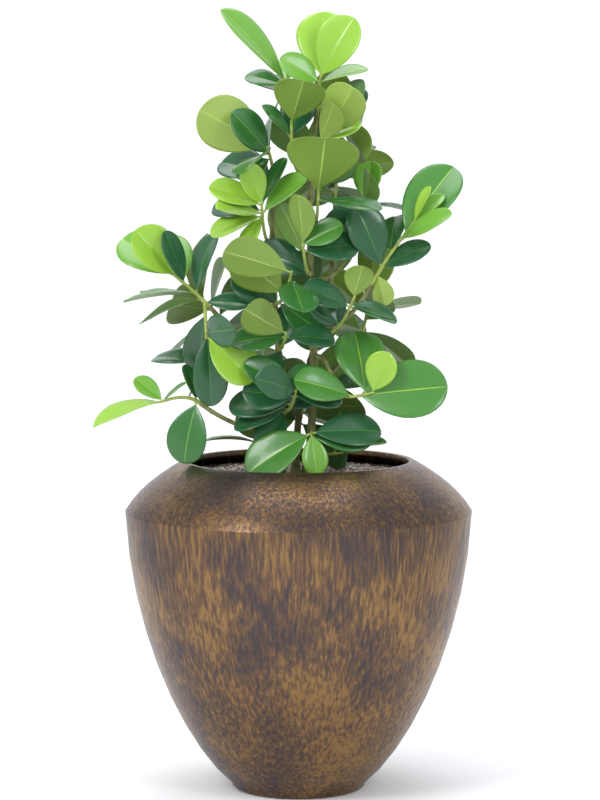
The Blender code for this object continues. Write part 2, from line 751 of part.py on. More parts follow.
def grow():
    """The whole plant as runs and leaves, before any of it is made solid."""
    space = Space()
    space.add("pot", *turned_shape(pot_profile()[1:-1]))
    space.add("filling", *turned_shape(filling_profile()[:2]))
    limbs = {}
    for name in STEMS:
        limbs[name] = stem_run(name)
        space.add(name, *tube(*limbs[name]))
    for name, (stem, height, tip, foot_radius, tip_radius) in BOUGHS.items():
        target = Vector(tip)
        start, out = side_start(limbs[stem], height, target, foot_radius)
        limbs[name] = side_run(start, out, target, foot_radius, tip_radius, 9)
        space.add(name, *tube(*limbs[name]))
    plan = {}
    for number, (name, (carrier, height, shoots)) in enumerate(MASSES.items()):
        chance = random.Random(number * 7 + 3)
        runs = []
        for index, shoot in enumerate(shoots):
            target = Vector(shoot.tip)
            if index > 0:
                node, along = run_at(runs[0][0], 0.15)
                out = (target - node).normalized()
                points = curve_points([node, node + out * 0.02, target], SHOOT_POINTS)
                radii = tapered(SHOOT_FOOT_RADIUS, SHOOT_TIP_RADIUS, SHOOT_POINTS)
                runs.append((points, radii))
            elif height is None:
                points, radii = limbs[carrier]
                along = (points[-1] - points[-2]).normalized()
                runs.append(run_on(points[-1], along, target, radii[-1], SHOOT_TIP_RADIUS, SHOOT_POINTS))
            else:
                start, out = side_start(limbs[carrier], height, target, SHOOT_FOOT_RADIUS)
                runs.append(side_run(start, out, target, SHOOT_FOOT_RADIUS, SHOOT_TIP_RADIUS, SHOOT_POINTS))
            space.add("twig " + name + str(index), *tube(*runs[-1]))
        plan[name] = {"runs": runs, "shoots": shoots, "leaves": [], "chance": chance}
    for grow_on in (chosen_leaves, ruled_leaves):
        for name, mass in plan.items():
            for index, (run, shoot) in enumerate(zip(mass["runs"], mass["shoots"])):
                mass["leaves"] += grow_on(name, index, run, shoot, space, mass["chance"])
    return limbs, plan


# Making the pieces


def linear(hex_colour):
    """An sRGB hex colour as the linear values that a shader takes."""
    shares = [int(hex_colour[i:i + 2], 16) / 255 for i in (0, 2, 4)]
    return [s / 12.92 if s <= 0.04045 else ((s + 0.055) / 1.055) ** 2.4 for s in shares]


def leaf_mesh(name, leaf):
    """One leaf as a closed mesh of triangles with its faces pointing out."""
    corners, faces = leaf_shape(leaf)
    mesh = bpy.data.meshes.new(name)
    mesh.from_pydata(corners, [], faces)
    work = bmesh.new()
    work.from_mesh(mesh)
    bmesh.ops.triangulate(work, faces=work.faces)
    bmesh.ops.recalc_face_normals(work, faces=work.faces)
    work.to_mesh(mesh)
    work.free()
    return mesh


def budded(points, radii):
    """A shoot's run carried on past its last pair of leaves into a short blunt bud."""
    along = (points[-1] - points[-2]).normalized()
    return points + [points[-1] + along * BUD_LENGTH], radii + [radii[-1] * BUD_TAPER]


def keep_one_body(mesh):
    """Drops what fusing left loose or sealed inside, so that one closed body stays."""
    work = bmesh.new()
    work.from_mesh(mesh)
    waiting = set(work.verts)
    bodies = []
    while waiting:
        body = {waiting.pop()}
        edge_of_body = list(body)
        while edge_of_body:
            corner = edge_of_body.pop()
            for edge in corner.link_edges:
                other = edge.other_vert(corner)
                if other not in body:
                    body.add(other)
                    edge_of_body.append(other)
        waiting -= body
        bodies.append(body)
    biggest = max(bodies, key=len)
    loose = [corner for corner in work.verts if corner not in biggest]
    bmesh.ops.delete(work, geom=loose, context="VERTS")
    work.to_mesh(mesh)
    work.free()
    return len(bodies) - 1


def make_limb(name, run, collection, material, sides):
    return new_object(name, limb_mesh(name, *run, sides), collection, material)


def make_mass(name, mass, collection, material):
    """One mass of leaves: its shoots and leaves fused into a single solid."""
    pieces = new_collection(name + " pieces")
    first, *others = [budded(*run) for run in mass["runs"]]
    made = make_limb(name, first, collection, material, SHOOT_SIDES)
    for run in others:
        make_limb(name + " shoot", run, pieces, None, SHOOT_SIDES)
    for leaf in mass["leaves"]:
        new_object(name + " leaf", leaf_mesh(name + " leaf", leaf), pieces)
    union = made.modifiers.new("fused", "BOOLEAN")
    union.operation = "UNION"
    union.operand_type = "COLLECTION"
    union.collection = pieces
    union.solver = "EXACT"
    joined = evaluated_mesh(made)
    made.modifiers.clear()
    made.data = joined
    for piece in list(pieces.objects):
        bpy.data.objects.remove(piece, do_unlink=True)
    bpy.data.collections.remove(pieces)
    dropped = keep_one_body(made.data)
    if dropped:
        print(name, "dropped", dropped, "loose pieces")
    return made


def main():
    clear_scene()
    parts = new_collection("potted_autograph_tree")
    bronze = new_material("bronze finish", linear("6B4E3A"), 0.32, 0.9)
    grit = new_material("grit", linear("948B82"), 0.9)
    turned("pot", pot_profile(), parts, bronze)
    turned("filling", filling_profile(), parts, grit)
    limbs, plan = grow()
    for name, run in limbs.items():
        bark = new_material(name + " bark", linear("7C8442"), 0.55)
        make_limb(name, run, parts, bark, STEM_SIDES)
    for name, mass in plan.items():
        age = sum(leaf["age"] for leaf in mass["leaves"]) / max(len(mass["leaves"]), 1)
        tone = [a + (b - a) * age for a, b in zip(linear(YOUNG_LEAF), linear(OLD_LEAF))]
        make_mass(name, mass, parts, new_material(name + " leaf", tone, 0.35))


if __name__ == "__main__":
    main()
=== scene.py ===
# %% [markdown]
# # A potted autograph tree
#
# This lesson dresses a potted autograph tree in Blender. The solids that carry it come in
# with the frame: a turned planter, its filling, three stems, their boughs and the masses of
# leaves. The lesson builds the fine surfaces over them: a hand-rubbed bronze planter, a top
# dressing of grit, jointed green bark and thick glossy leaves.

import random
from collections import namedtuple
from math import cos, exp, hypot, pi, radians, sin

import bmesh
import bpy
from mathutils import Matrix, Vector
from mathutils.bvhtree import BVHTree


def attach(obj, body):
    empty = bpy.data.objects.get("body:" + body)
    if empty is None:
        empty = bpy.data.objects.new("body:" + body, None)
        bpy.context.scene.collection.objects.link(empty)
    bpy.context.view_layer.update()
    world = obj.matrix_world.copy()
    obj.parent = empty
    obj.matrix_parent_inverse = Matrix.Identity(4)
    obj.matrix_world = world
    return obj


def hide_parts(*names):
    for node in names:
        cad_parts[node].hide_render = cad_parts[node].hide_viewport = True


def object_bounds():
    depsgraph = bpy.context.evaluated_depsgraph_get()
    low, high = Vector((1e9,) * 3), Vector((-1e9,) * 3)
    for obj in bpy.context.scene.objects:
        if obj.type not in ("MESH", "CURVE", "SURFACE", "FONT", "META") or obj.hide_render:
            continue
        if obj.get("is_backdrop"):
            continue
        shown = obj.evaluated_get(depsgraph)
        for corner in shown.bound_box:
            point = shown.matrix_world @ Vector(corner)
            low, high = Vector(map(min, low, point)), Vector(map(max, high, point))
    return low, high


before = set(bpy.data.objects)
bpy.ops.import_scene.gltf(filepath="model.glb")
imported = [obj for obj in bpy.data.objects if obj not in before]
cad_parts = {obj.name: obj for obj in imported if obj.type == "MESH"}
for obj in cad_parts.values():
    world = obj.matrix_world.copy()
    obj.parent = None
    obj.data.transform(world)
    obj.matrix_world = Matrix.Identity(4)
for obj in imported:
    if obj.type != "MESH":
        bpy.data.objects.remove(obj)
cad_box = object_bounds()
print("solids", len(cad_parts), "in the box", cad_box)

# %% [markdown]
# ## Colours and shader nodes
#
# Colours are picked as hex values, the way a paint or photo program shows them. Blender's
# shaders take linear light, so one function turns the one into the other. A second adds a
# shader node with its settings and its links, which keeps each material short to read.


# %% A colour and a node
def linear(hex_colour):
    """An sRGB hex colour as the linear values that a shader takes, with alpha."""
    shares = [int(hex_colour[i:i + 2], 16) / 255 for i in (0, 2, 4)]
    return [s / 12.92 if s <= 0.04045 else ((s + 0.055) / 1.055) ** 2.4 for s in shares] + [1.0]


def add_node(tree, kind, settings=(), **links):
    """A shader node. Settings name its properties or inputs, and links give what feeds an
    input: by its name, or as _0, _1 and so on by its number."""
    node = tree.nodes.new("ShaderNode" + kind)
    for name, value in dict(settings).items():
        if isinstance(name, str) and hasattr(node, name):
            setattr(node, name, value)
        else:
            node.inputs[name].default_value = value
    for name, source in links.items():
        number = name[1:]
        socket = node.inputs[int(number) if number.isdigit() else name]
        tree.links.new(source, socket)
    return node


def set_tones(ramp, tones):
    """Gives a colour ramp its tones, each a position and a hex colour, lowest first."""
    for element, (position, colour) in zip(ramp.elements, (tones[0], tones[-1])):
        element.position = position
        element.color = linear(colour)
    for position, colour in tones[1:-1]:
        ramp.elements.new(position).color = linear(colour)


# %% A plain material and a mesh piece
def new_material(name, base, roughness, metallic=0.0, coat=0.0):
    """A material with plain values on its shader."""
    made = bpy.data.materials.new(name)
    made.use_nodes = True
    inputs = made.node_tree.nodes["Principled BSDF"].inputs
    inputs["Base Color"].default_value = linear(base)
    inputs["Roughness"].default_value = roughness
    inputs["Metallic"].default_value = metallic
    inputs["Coat Weight"].default_value = coat
    return made


def feed(made, **sources):
    """Links outputs to a material's shader, whose inputs are named with _ for a space."""
    tree = made.node_tree
    for name, source in sources.items():
        tree.links.new(source, tree.nodes["Principled BSDF"].inputs[name.replace("_", " ")])


def placed(name, data):
    """A new object with this data, in the scene."""
    made = bpy.data.objects.new(name, data)
    bpy.context.scene.collection.objects.link(made)
    return made


def new_piece(name, points, faces, materials, slots=None, smooth=True):
    """A mesh piece from points and faces, with a material slot for each face."""
    mesh = bpy.data.meshes.new(name)
    mesh.from_pydata([tuple(p) for p in points], [], faces)
    for material in materials:
        mesh.materials.append(material)
    if slots is not None:
        mesh.polygons.foreach_set("material_index", slots)
    if smooth:
        mesh.shade_smooth()
    mesh.update()
    return placed(name, mesh)


def joined(name, shapes, materials, smooth=True):
    """Many shapes as one piece. Each shape is its points, its faces and their slots."""
    points, faces, slots = [], [], []
    for corners, shape_faces, shape_slots in shapes:
        start = len(points)
        points += corners
        faces += [tuple(start + c for c in face) for face in shape_faces]
        slots += shape_slots
    return new_piece(name, points, faces, materials, slots, smooth)


# %% [markdown]
# ## The camera
#
# The photograph was taken with a long lens from a little above the planter's rim. A long
# lens far away keeps the rim's ellipse narrow, so the camera stands about four metres off,
# and looks slightly down.

# %% Camera
CAMERA_DISTANCE = 4.10
CAMERA_HEIGHT = 0.935
CAMERA_PITCH = 5.2
CAMERA_SIDE = 0.002
CAMERA_LENS = 171.9

lens = bpy.data.cameras.new("camera")
lens.lens = CAMERA_LENS
lens.sensor_fit = "HORIZONTAL"
camera = placed("camera", lens)
camera.location = (CAMERA_SIDE, -CAMERA_DISTANCE, CAMERA_HEIGHT)
camera.rotation_euler = (radians(90 - CAMERA_PITCH), 0.0, 0.0)
bpy.context.scene.camera = camera
print("camera lens", lens.lens, "mm")

# %% [markdown]
# ## The studio
#
# The plant stands in an even white studio. A pale floor runs up into a wall in one sweep, so
# that no horizon shows. Soft boxes on the left and right give the long highlights on the
# planter's shoulder, one above lights the crown, and a white world fills the shadows among
# the leaves.

# %% Floor and wall
SWEEP_WIDTH = 9.0
SWEEP_FRONT = -5.0
SWEEP_BACK = 3.0
SWEEP_RADIUS = 1.2
SWEEP_TOP = 5.0
SWEEP_STEPS = 12
SWEEP_DROP = 0.0005

sweep_line = [(SWEEP_FRONT, 0.0)]
for i in range(SWEEP_STEPS + 1):
    angle = radians(90 * i / SWEEP_STEPS)
    sweep_line.append((
        SWEEP_BACK - SWEEP_RADIUS + SWEEP_RADIUS * sin(angle),
        SWEEP_RADIUS * (1 - cos(angle)),
    ))
sweep_line.append((SWEEP_BACK, SWEEP_TOP))
sweep_points = [
    (side * SWEEP_WIDTH / 2, y, z - SWEEP_DROP) for y, z in sweep_line for side in (-1, 1)
]
sweep_faces = [(2 * i, 2 * i + 1, 2 * i + 3, 2 * i + 2) for i in range(len(sweep_line) - 1)]
paper = new_material("white studio paper", "F7F7F7", 0.9)
sweep = new_piece("studio sweep", sweep_points, sweep_faces, [paper])
sweep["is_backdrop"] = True
print("sweep faces", len(sweep_faces))

# %% Soft boxes and world
# Each lamp: its place, what it looks at, its width and height, its power and its colour
SOFT_BOXES = {
    "left box": ((-1.7, -1.9, 2.3), (0.0, 0.0, 0.6), (0.9, 1.5), 50, "FFFFFF"),
    "right box": ((1.5, -2.3, 2.0), (0.0, 0.0, 0.6), (0.6, 1.3), 26, "F4F7FF"),
    "top box": ((0.0, 0.6, 3.0), (0.0, 0.0, 0.7), (1.8, 1.8), 32, "FFFFFF"),
}
WORLD_COLOUR = "F4F7FC"
WORLD_STRENGTH = 0.85

for name, (place, aim, size, power, colour) in SOFT_BOXES.items():
    data = bpy.data.lights.new(name, "AREA")
    data.shape = "RECTANGLE"
    data.size, data.size_y = size
    data.energy = power
    data.color = linear(colour)[:3]
    lamp = placed(name, data)
    lamp.location = place
    lamp.rotation_euler = (Vector(aim) - Vector(place)).to_track_quat("-Z", "Y").to_euler()

world = bpy.data.worlds.new("white studio")
world.use_nodes = True
background = world.node_tree.nodes["Background"]
background.inputs["Color"].default_value = linear(WORLD_COLOUR)
background.inputs["Strength"].default_value = WORLD_STRENGTH
bpy.context.scene.world = world
bpy.context.scene.view_settings.view_transform = "Standard"
print("lamps", len(SOFT_BOXES))

# %% [markdown]
# ## The planter's form
#
# The real planter is a turned form: a round foot, a body that swells to a sharp shoulder
# ridge, and a shoulder that draws in to a flat lip. A profile spun round an axis is what a
# wheel or a spinning lathe does, so the same profile is spun here with a Screw modifier,
# in many more steps than the solid needs.

# %% Sizes of the planter
# Points of the profile are a radius and a height
POT_HEIGHT = 0.475
LIP_OUTER_RADIUS = 0.166
LIP_WIDTH = 0.0075
LIP_ROUNDING = 0.0015
SHOULDER_BULGE = (0.228, 0.441)
SHOULDER_EDGE = (0.2495, 0.403)
SHOULDER_POINTS = 7
WIDEST_RADIUS = 0.249
WIDEST_HEIGHT = 0.396
BODY_BULGE = (0.241, 0.225)
BODY_TUCK = (0.166, 0.062)
BODY_POINTS = 10
FOOT_RADIUS = 0.090
FOOT_ROUNDING = 0.007
FLOOR_RADIUS = 0.088
WALL = 0.008
FILL_DROP = 0.023
FILL_TOP = POT_HEIGHT - FILL_DROP
FILL_EDGE = 0.002
GAP = 0.0003
TURNED_STEPS = 192
SHARP_ANGLE = 35
print("planter", 2 * WIDEST_RADIUS, "m wide,", POT_HEIGHT, "m high")


# %% Curves and arcs for the profile
def bezier(points, share):
    """The point at this share of a Bezier curve of any degree."""
    points = [Vector(point) for point in points]
    while len(points) > 1:
        points = [a.lerp(b, share) for a, b in zip(points, points[1:])]
    return points[0]


def curve_points(points, count):
    """Points spread along the Bezier curve that these control points give."""
    return [bezier(points, i / (count - 1)) for i in range(count)]


def arc(centre, radius, start, end, count):
    """Points on an arc in the profile's plane, where x is the radius; angles in degrees."""
    found = []
    for i in range(count):
        angle = radians(start + (end - start) * i / (count - 1))
        x = centre[0] + radius * cos(angle)
        found.append(Vector((x, centre[1] + radius * sin(angle))))
    return found


# %% The planter's profile
def outer_profile():
    """The planter's outside, from the lip's outer edge down to the rounded foot."""
    shoulder = [(LIP_OUTER_RADIUS, POT_HEIGHT), SHOULDER_BULGE, SHOULDER_EDGE]
    foot_corner = (FOOT_RADIUS + FOOT_ROUNDING, FOOT_ROUNDING)
    body = [(WIDEST_RADIUS, WIDEST_HEIGHT), BODY_BULGE, BODY_TUCK, foot_corner]
    return curve_points(shoulder, SHOULDER_POINTS) + curve_points(body, BODY_POINTS)


def offset(profile, distance):
    """The profile moved inwards by a distance, square to its own run."""
    moved = []
    for i, point in enumerate(profile):
        before = profile[max(i - 1, 0)]
        after = profile[min(i + 1, len(profile) - 1)]
        along = (after - before).normalized()
        moved.append(point + distance * Vector((along.y, -along.x)))
    return moved


def inner_profile(distance):
    """The planter's inside at this depth in its wall, down to where its floor begins."""
    return [point for point in offset(outer_profile(), distance) if point.y > WALL + FOOT_ROUNDING]


def pot_profile():
    """The whole wall's section, from the middle of its inner floor over the lip to the
    middle of the underside."""
    lip_inner = LIP_OUTER_RADIUS - LIP_WIDTH
    under_lip = [
        p for p in inner_profile(WALL) if p.y < WIDEST_HEIGHT or p.x > lip_inner + LIP_ROUNDING
    ]
    corner = arc((lip_inner + LIP_ROUNDING, POT_HEIGHT - LIP_ROUNDING), LIP_ROUNDING, 180, 90, 3)
    foot = arc((FOOT_RADIUS, FOOT_ROUNDING), FOOT_ROUNDING, 0, -90, 4)
    floor = [Vector((0.0, WALL)), Vector((FLOOR_RADIUS, WALL))]
    collar = [Vector((lip_inner, under_lip[0].y))]
    middle = [Vector((0.0, 0.0))]
    return floor + under_lip[::-1] + collar + corner + outer_profile() + foot[1:] + middle


def filling_profile():
    """The filling's section: the planter's inside, a gap smaller, cut level below the lip."""
    inside = inner_profile(WALL + GAP)
    below = [point for point in inside if point.y < FILL_TOP - FILL_EDGE]
    above = [point for point in inside if point.y >= FILL_TOP - FILL_EDGE]
    share = (FILL_TOP - below[0].y) / (above[-1].y - below[0].y)
    edge = below[0].lerp(above[-1], share)
    bottom = WALL + GAP
    floor = [Vector((FLOOR_RADIUS - GAP, bottom)), Vector((0.0, bottom))]
    return [Vector((0.0, FILL_TOP)), edge] + below + floor


print("profile points", len(pot_profile()), "and", len(filling_profile()))


# %% Turned pieces
def turned(name, profile, material):
    """A profile spun round the Z axis by a Screw modifier, applied."""
    mesh = bpy.data.meshes.new(name)
    edges = [(i, i + 1) for i in range(len(profile) - 1)]
    mesh.from_pydata([(p.x, 0.0, p.y) for p in profile], edges, [])
    made = placed(name, mesh)
    screw = made.modifiers.new("turned", "SCREW")
    screw.steps = TURNED_STEPS
    screw.render_steps = TURNED_STEPS
    screw.use_merge_vertices = True
    screw.merge_threshold = 0.0001
    bpy.context.view_layer.update()
    graph = bpy.context.evaluated_depsgraph_get()
    made.data = bpy.data.meshes.new_from_object(made.evaluated_get(graph))
    made.modifiers.clear()
    made.data.materials.append(material)
    made.data.shade_smooth()
    made.data.set_sharp_from_angle(angle=radians(SHARP_ANGLE))
    return made


# %% [markdown]
# ## Hand-rubbed bronze
#
# The real finish is a metal coating, sprayed on a shell, darkened with a patina and rubbed
# back by hand. The metal shows golden brown where the rubbing reached it, and blue-grey
# where the patina stayed, mostly in upright wipes. Small pits speckle the shoulder. Noise
# that is stretched along the height gives the wipes, and a fine cell pattern the pits.

# %% Patina
# Sizes in metres, shares without a unit, and the tones from full patina to bare metal
WIPE_ACROSS = 0.0045
WIPE_ALONG = 0.050
CLOUD_SIZE = 0.11
CLOUD_SHARE = 0.7
# Painted light: how much lighter the coating is made for each metre towards the right
SIDE_PAINTED_LIGHT = 0.22
BRONZE_TONES = ((0.70, "4A4243"), (0.79, "5B4A40"), (0.88, "6B5442"), (1.00, "8A6C45"))


def wiped(tree, place):
    """Fine upright wipes, as a noise stretched along the height."""
    across, along = 1 / WIPE_ACROSS, 1 / WIPE_ALONG
    stretched = add_node(tree, "Mapping", {"Scale": (across, across, along)}, Vector=place)
    return add_node(tree, "TexNoise", {"Scale": 1.0, "Detail": 5.0, "Roughness": 0.65},
                    Vector=stretched.outputs["Vector"]).outputs["Fac"]


def patina(tree, place, wipes, axes):
    """The coating's colour: wipes, over wide clouds, with painted light that makes it a little lighter
    towards the right.
    """
    clouds = add_node(tree, "TexNoise",
                      {"Scale": 1 / CLOUD_SIZE, "Detail": 3.0}, Vector=place)
    zones = add_node(tree, "Math", {"operation": "MULTIPLY", 1: CLOUD_SHARE},
                     _0=clouds.outputs["Fac"])
    # Painted light: the coating grows lighter towards the right, added to the wide clouds
    clouds_and_side_light = add_node(tree, "Math", {"operation": "MULTIPLY_ADD", 1: SIDE_PAINTED_LIGHT},
                     _0=axes.outputs["X"], _2=zones.outputs[0])
    worn_and_lit = add_node(tree, "Math", {"operation": "ADD"}, _0=wipes, _1=clouds_and_side_light.outputs[0])
    tones = add_node(tree, "ValToRGB", Fac=worn_and_lit.outputs[0])
    set_tones(tones.color_ramp, BRONZE_TONES)
    return tones.outputs["Color"]


# %% Pits
PIT_SPACING = 0.0045
PIT_SHADE = {"From Min": 0.10, "From Max": 0.30, "To Min": 0.5, "To Max": 1.0}
PIT_DEPTH = 0.001
PIT_STRENGTH = 0.3
PITS_END = {"From Min": WIDEST_HEIGHT - 0.01, "From Max": WIDEST_HEIGHT + 0.02,
            "To Min": 1.0, "To Max": 0.0}


def pitted(tree, place, axes):
    """Small dark pits above the widest line, as a share of light from 0.5 to 1."""
    cells = add_node(tree, "TexVoronoi", {"Scale": 1 / PIT_SPACING}, Vector=place)
    pits = add_node(tree, "MapRange", PIT_SHADE, Value=cells.outputs["Distance"])
    below = add_node(tree, "MapRange", PITS_END, Value=axes.outputs["Z"])
    return add_node(tree, "Math", {"operation": "MAXIMUM"},
                    _0=pits.outputs["Result"], _1=below.outputs["Result"]).outputs[0]


# %% Bronze finish and planter
POLISH = {"From Min": 0.35, "From Max": 0.7, "To Min": 0.40, "To Max": 0.27}


def bronze_finish():
    """Golden bronze with fine upright wipes of dark patina, pitted on the shoulder."""
    made = new_material("rubbed bronze coating", "6E563E", 0.36, 0.9)
    tree = made.node_tree
    place = add_node(tree, "TexCoord").outputs["Object"]
    axes = add_node(tree, "SeparateXYZ", Vector=place)
    wipes = wiped(tree, place)
    pits = pitted(tree, place, axes)
    colour = add_node(tree, "Mix",
                      {"data_type": "RGBA", "blend_type": "MULTIPLY", "Factor": 1.0},
                      _6=patina(tree, place, wipes, axes), _7=pits)
    polish = add_node(tree, "MapRange", POLISH, Value=wipes)
    bump = add_node(tree, "Bump", {"Strength": PIT_STRENGTH, "Distance": PIT_DEPTH},
                    Height=pits)
    feed(made, Base_Color=colour.outputs[2], Roughness=polish.outputs["Result"],
         Normal=bump.outputs["Normal"])
    return made


planter = turned("bronze_planter", pot_profile(), bronze_finish())
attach(planter, "root")
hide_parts("pot")
print("planter faces", len(planter.data.polygons))

# %% [markdown]
# ## The top dressing
#
# A layer of mixed grit covers the potting mix. Each grain is a small squashed rock about
# four millimetres across, in one of a few pale and dark stone colours. They are laid on a
# jittered grid over the filling and joined into one piece, with a dark bed under them.

# %% Grit
# Pairs are the least and the most that chance gives a grain, as shares of its size
GRAIN = 0.0048
GRAIN_SPACING = 0.0040
GRAIN_SIZES = (0.65, 1.25)
GRAIN_SQUASH = ((0.8, 1.3), (0.7, 1.0), (0.5, 0.8))
GRAIN_UNEVEN = (0.8, 1.15)
GRAIN_TILT = 0.6
GRAIN_RISE = 0.18
GRAIN_SINK = 0.0004
FULL_TURN = 6.28
PALE_POWER = 1.1
GRIT_ROUGHNESS = 0.85
GRIT_TONES = (("pale limestone", "E6DFD9"), ("pink granite", "D0B8AE"), ("grey slate", "B3ACA8"),
              ("brown flint", "94796A"), ("dark basalt", "625856"))


def grain_form():
    """A small many-sided rock: a coarse ball's points and faces."""
    work = bmesh.new()
    bmesh.ops.create_icosphere(work, subdivisions=1, radius=0.5)
    points = [v.co.copy() for v in work.verts]
    faces = [tuple(v.index for v in f.verts) for f in work.faces]
    work.free()
    return points, faces


def grains(bed_radius):
    """Each grain on the filling's level top: its points, its faces and their slots."""
    chance = random.Random(11)
    form, faces = grain_form()
    steps = int(bed_radius / GRAIN_SPACING)
    for i in range(-steps, steps + 1):
        for j in range(-steps, steps + 1):
            x = (i + chance.uniform(-0.5, 0.5)) * GRAIN_SPACING
            y = (j + chance.uniform(-0.5, 0.5)) * GRAIN_SPACING
            size = GRAIN * chance.uniform(*GRAIN_SIZES)
            turn = Matrix.Rotation(chance.uniform(0, FULL_TURN), 3, "Z")
            turn = turn @ Matrix.Rotation(chance.uniform(-GRAIN_TILT, GRAIN_TILT), 3, "X")
            if hypot(x, y) > bed_radius - GRAIN:
                continue
            middle = Vector((x, y, FILL_TOP - GRAIN_SINK + size * GRAIN_RISE))
            squash = Vector([chance.uniform(*limits) for limits in GRAIN_SQUASH])
            points = []
            for corner in form:
                uneven = chance.uniform(*GRAIN_UNEVEN)
                squashed = Vector([c * s for c, s in zip(corner, squash)])
                points.append(middle + turn @ squashed * size * uneven)
            tone = int(chance.random() ** PALE_POWER * len(GRIT_TONES))
            yield points, faces, [tone] * len(faces)


# %% The bed and its grains
grit_materials = [new_material(name, colour, GRIT_ROUGHNESS) for name, colour in GRIT_TONES]
bed = turned("potting_mix", filling_profile(), new_material("dark potting mix", "3A302A", 0.95))
grit = joined("grit", grains(filling_profile()[1].x), grit_materials, smooth=False)
for piece in (bed, grit):
    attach(piece, "root")
    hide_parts("filling")
print("grit faces", len(grit.data.polygons))

# %% [markdown]
# ## The plan of the plant
#
# An autograph tree carries its leaves in opposite pairs, each pair square to the next. The
# stems stand in the grit, the boughs leave the stems, and each mass of leaves grows from
# one shoot. The tables give the stems, the boughs, and for each mass its shoots and those
# leaves that stand out. A rule with seeded chance adds the other pairs.

# %% Stems and boughs
# Stems: foot on the filling, tip, sway across the straight line, radius at foot and tip
STEMS = {
    "stem_centre": ((0.012, -0.006), (0.026, -0.002, 0.975), (0.006, 0.004), 0.0062, 0.0036),
    "stem_left": ((-0.026, -0.012), (-0.036, -0.008, 0.872), (0.004, -0.010), 0.0058, 0.0034),
    "stem_right": ((-0.004, 0.026), (0.052, 0.028, 0.830), (-0.008, 0.010), 0.0056, 0.0034),
}

# Boughs: stem, height they leave it at, tip, radius at foot and tip
BOUGHS = {
    "bough_left": ("stem_left", 0.650, (-0.126, -0.040, 0.698), 0.0036, 0.0030),
    "bough_lower_left": ("stem_left", 0.520, (-0.140, -0.052, 0.562), 0.0036, 0.0030),
    "bough_right": ("stem_centre", 0.668, (0.104, -0.030, 0.730), 0.0036, 0.0030),
    "bough_upper_right": ("stem_centre", 0.735, (0.078, 0.004, 0.798), 0.0034, 0.0029),
    "bough_lower_right": ("stem_centre", 0.626, (0.050, -0.046, 0.588), 0.0036, 0.0030),
    "bough_back_left": ("stem_left", 0.600, (-0.100, 0.080, 0.650), 0.0036, 0.0030),
    "bough_back_right": ("stem_right", 0.590, (0.084, 0.080, 0.640), 0.0036, 0.0030),
}

print("stems", len(STEMS), "boughs", len(BOUGHS))

# %% Shoots and leaves
# A leaf that stands out: the way it points as seen from the front, where 0 is up and 90 is
# to the right; how far it comes forward out of that view; its length; the turn of its upper
# face away from the front, where 180 shows the underside; its breadth beside the common
# leaf; its age, from 0, bright and young, to 1; and its place up the shoot, 1 at the tip
Leaf = namedtuple("Leaf", "clock forward length face breadth age at", defaults=(1.0,))

# A shoot: its tip, then what its rule needs. The pairs of leaves and their length; the
# turn of the top pair round the shoot, where 0 faces the front and 90 the right; the
# spread of the lowest and of the top pair; how far the blades lean to face the outside;
# and the age. Then the leaves that stand out.
Shoot = namedtuple("Shoot", "tip pairs leaf turn low top lean age leaves", defaults=((),))

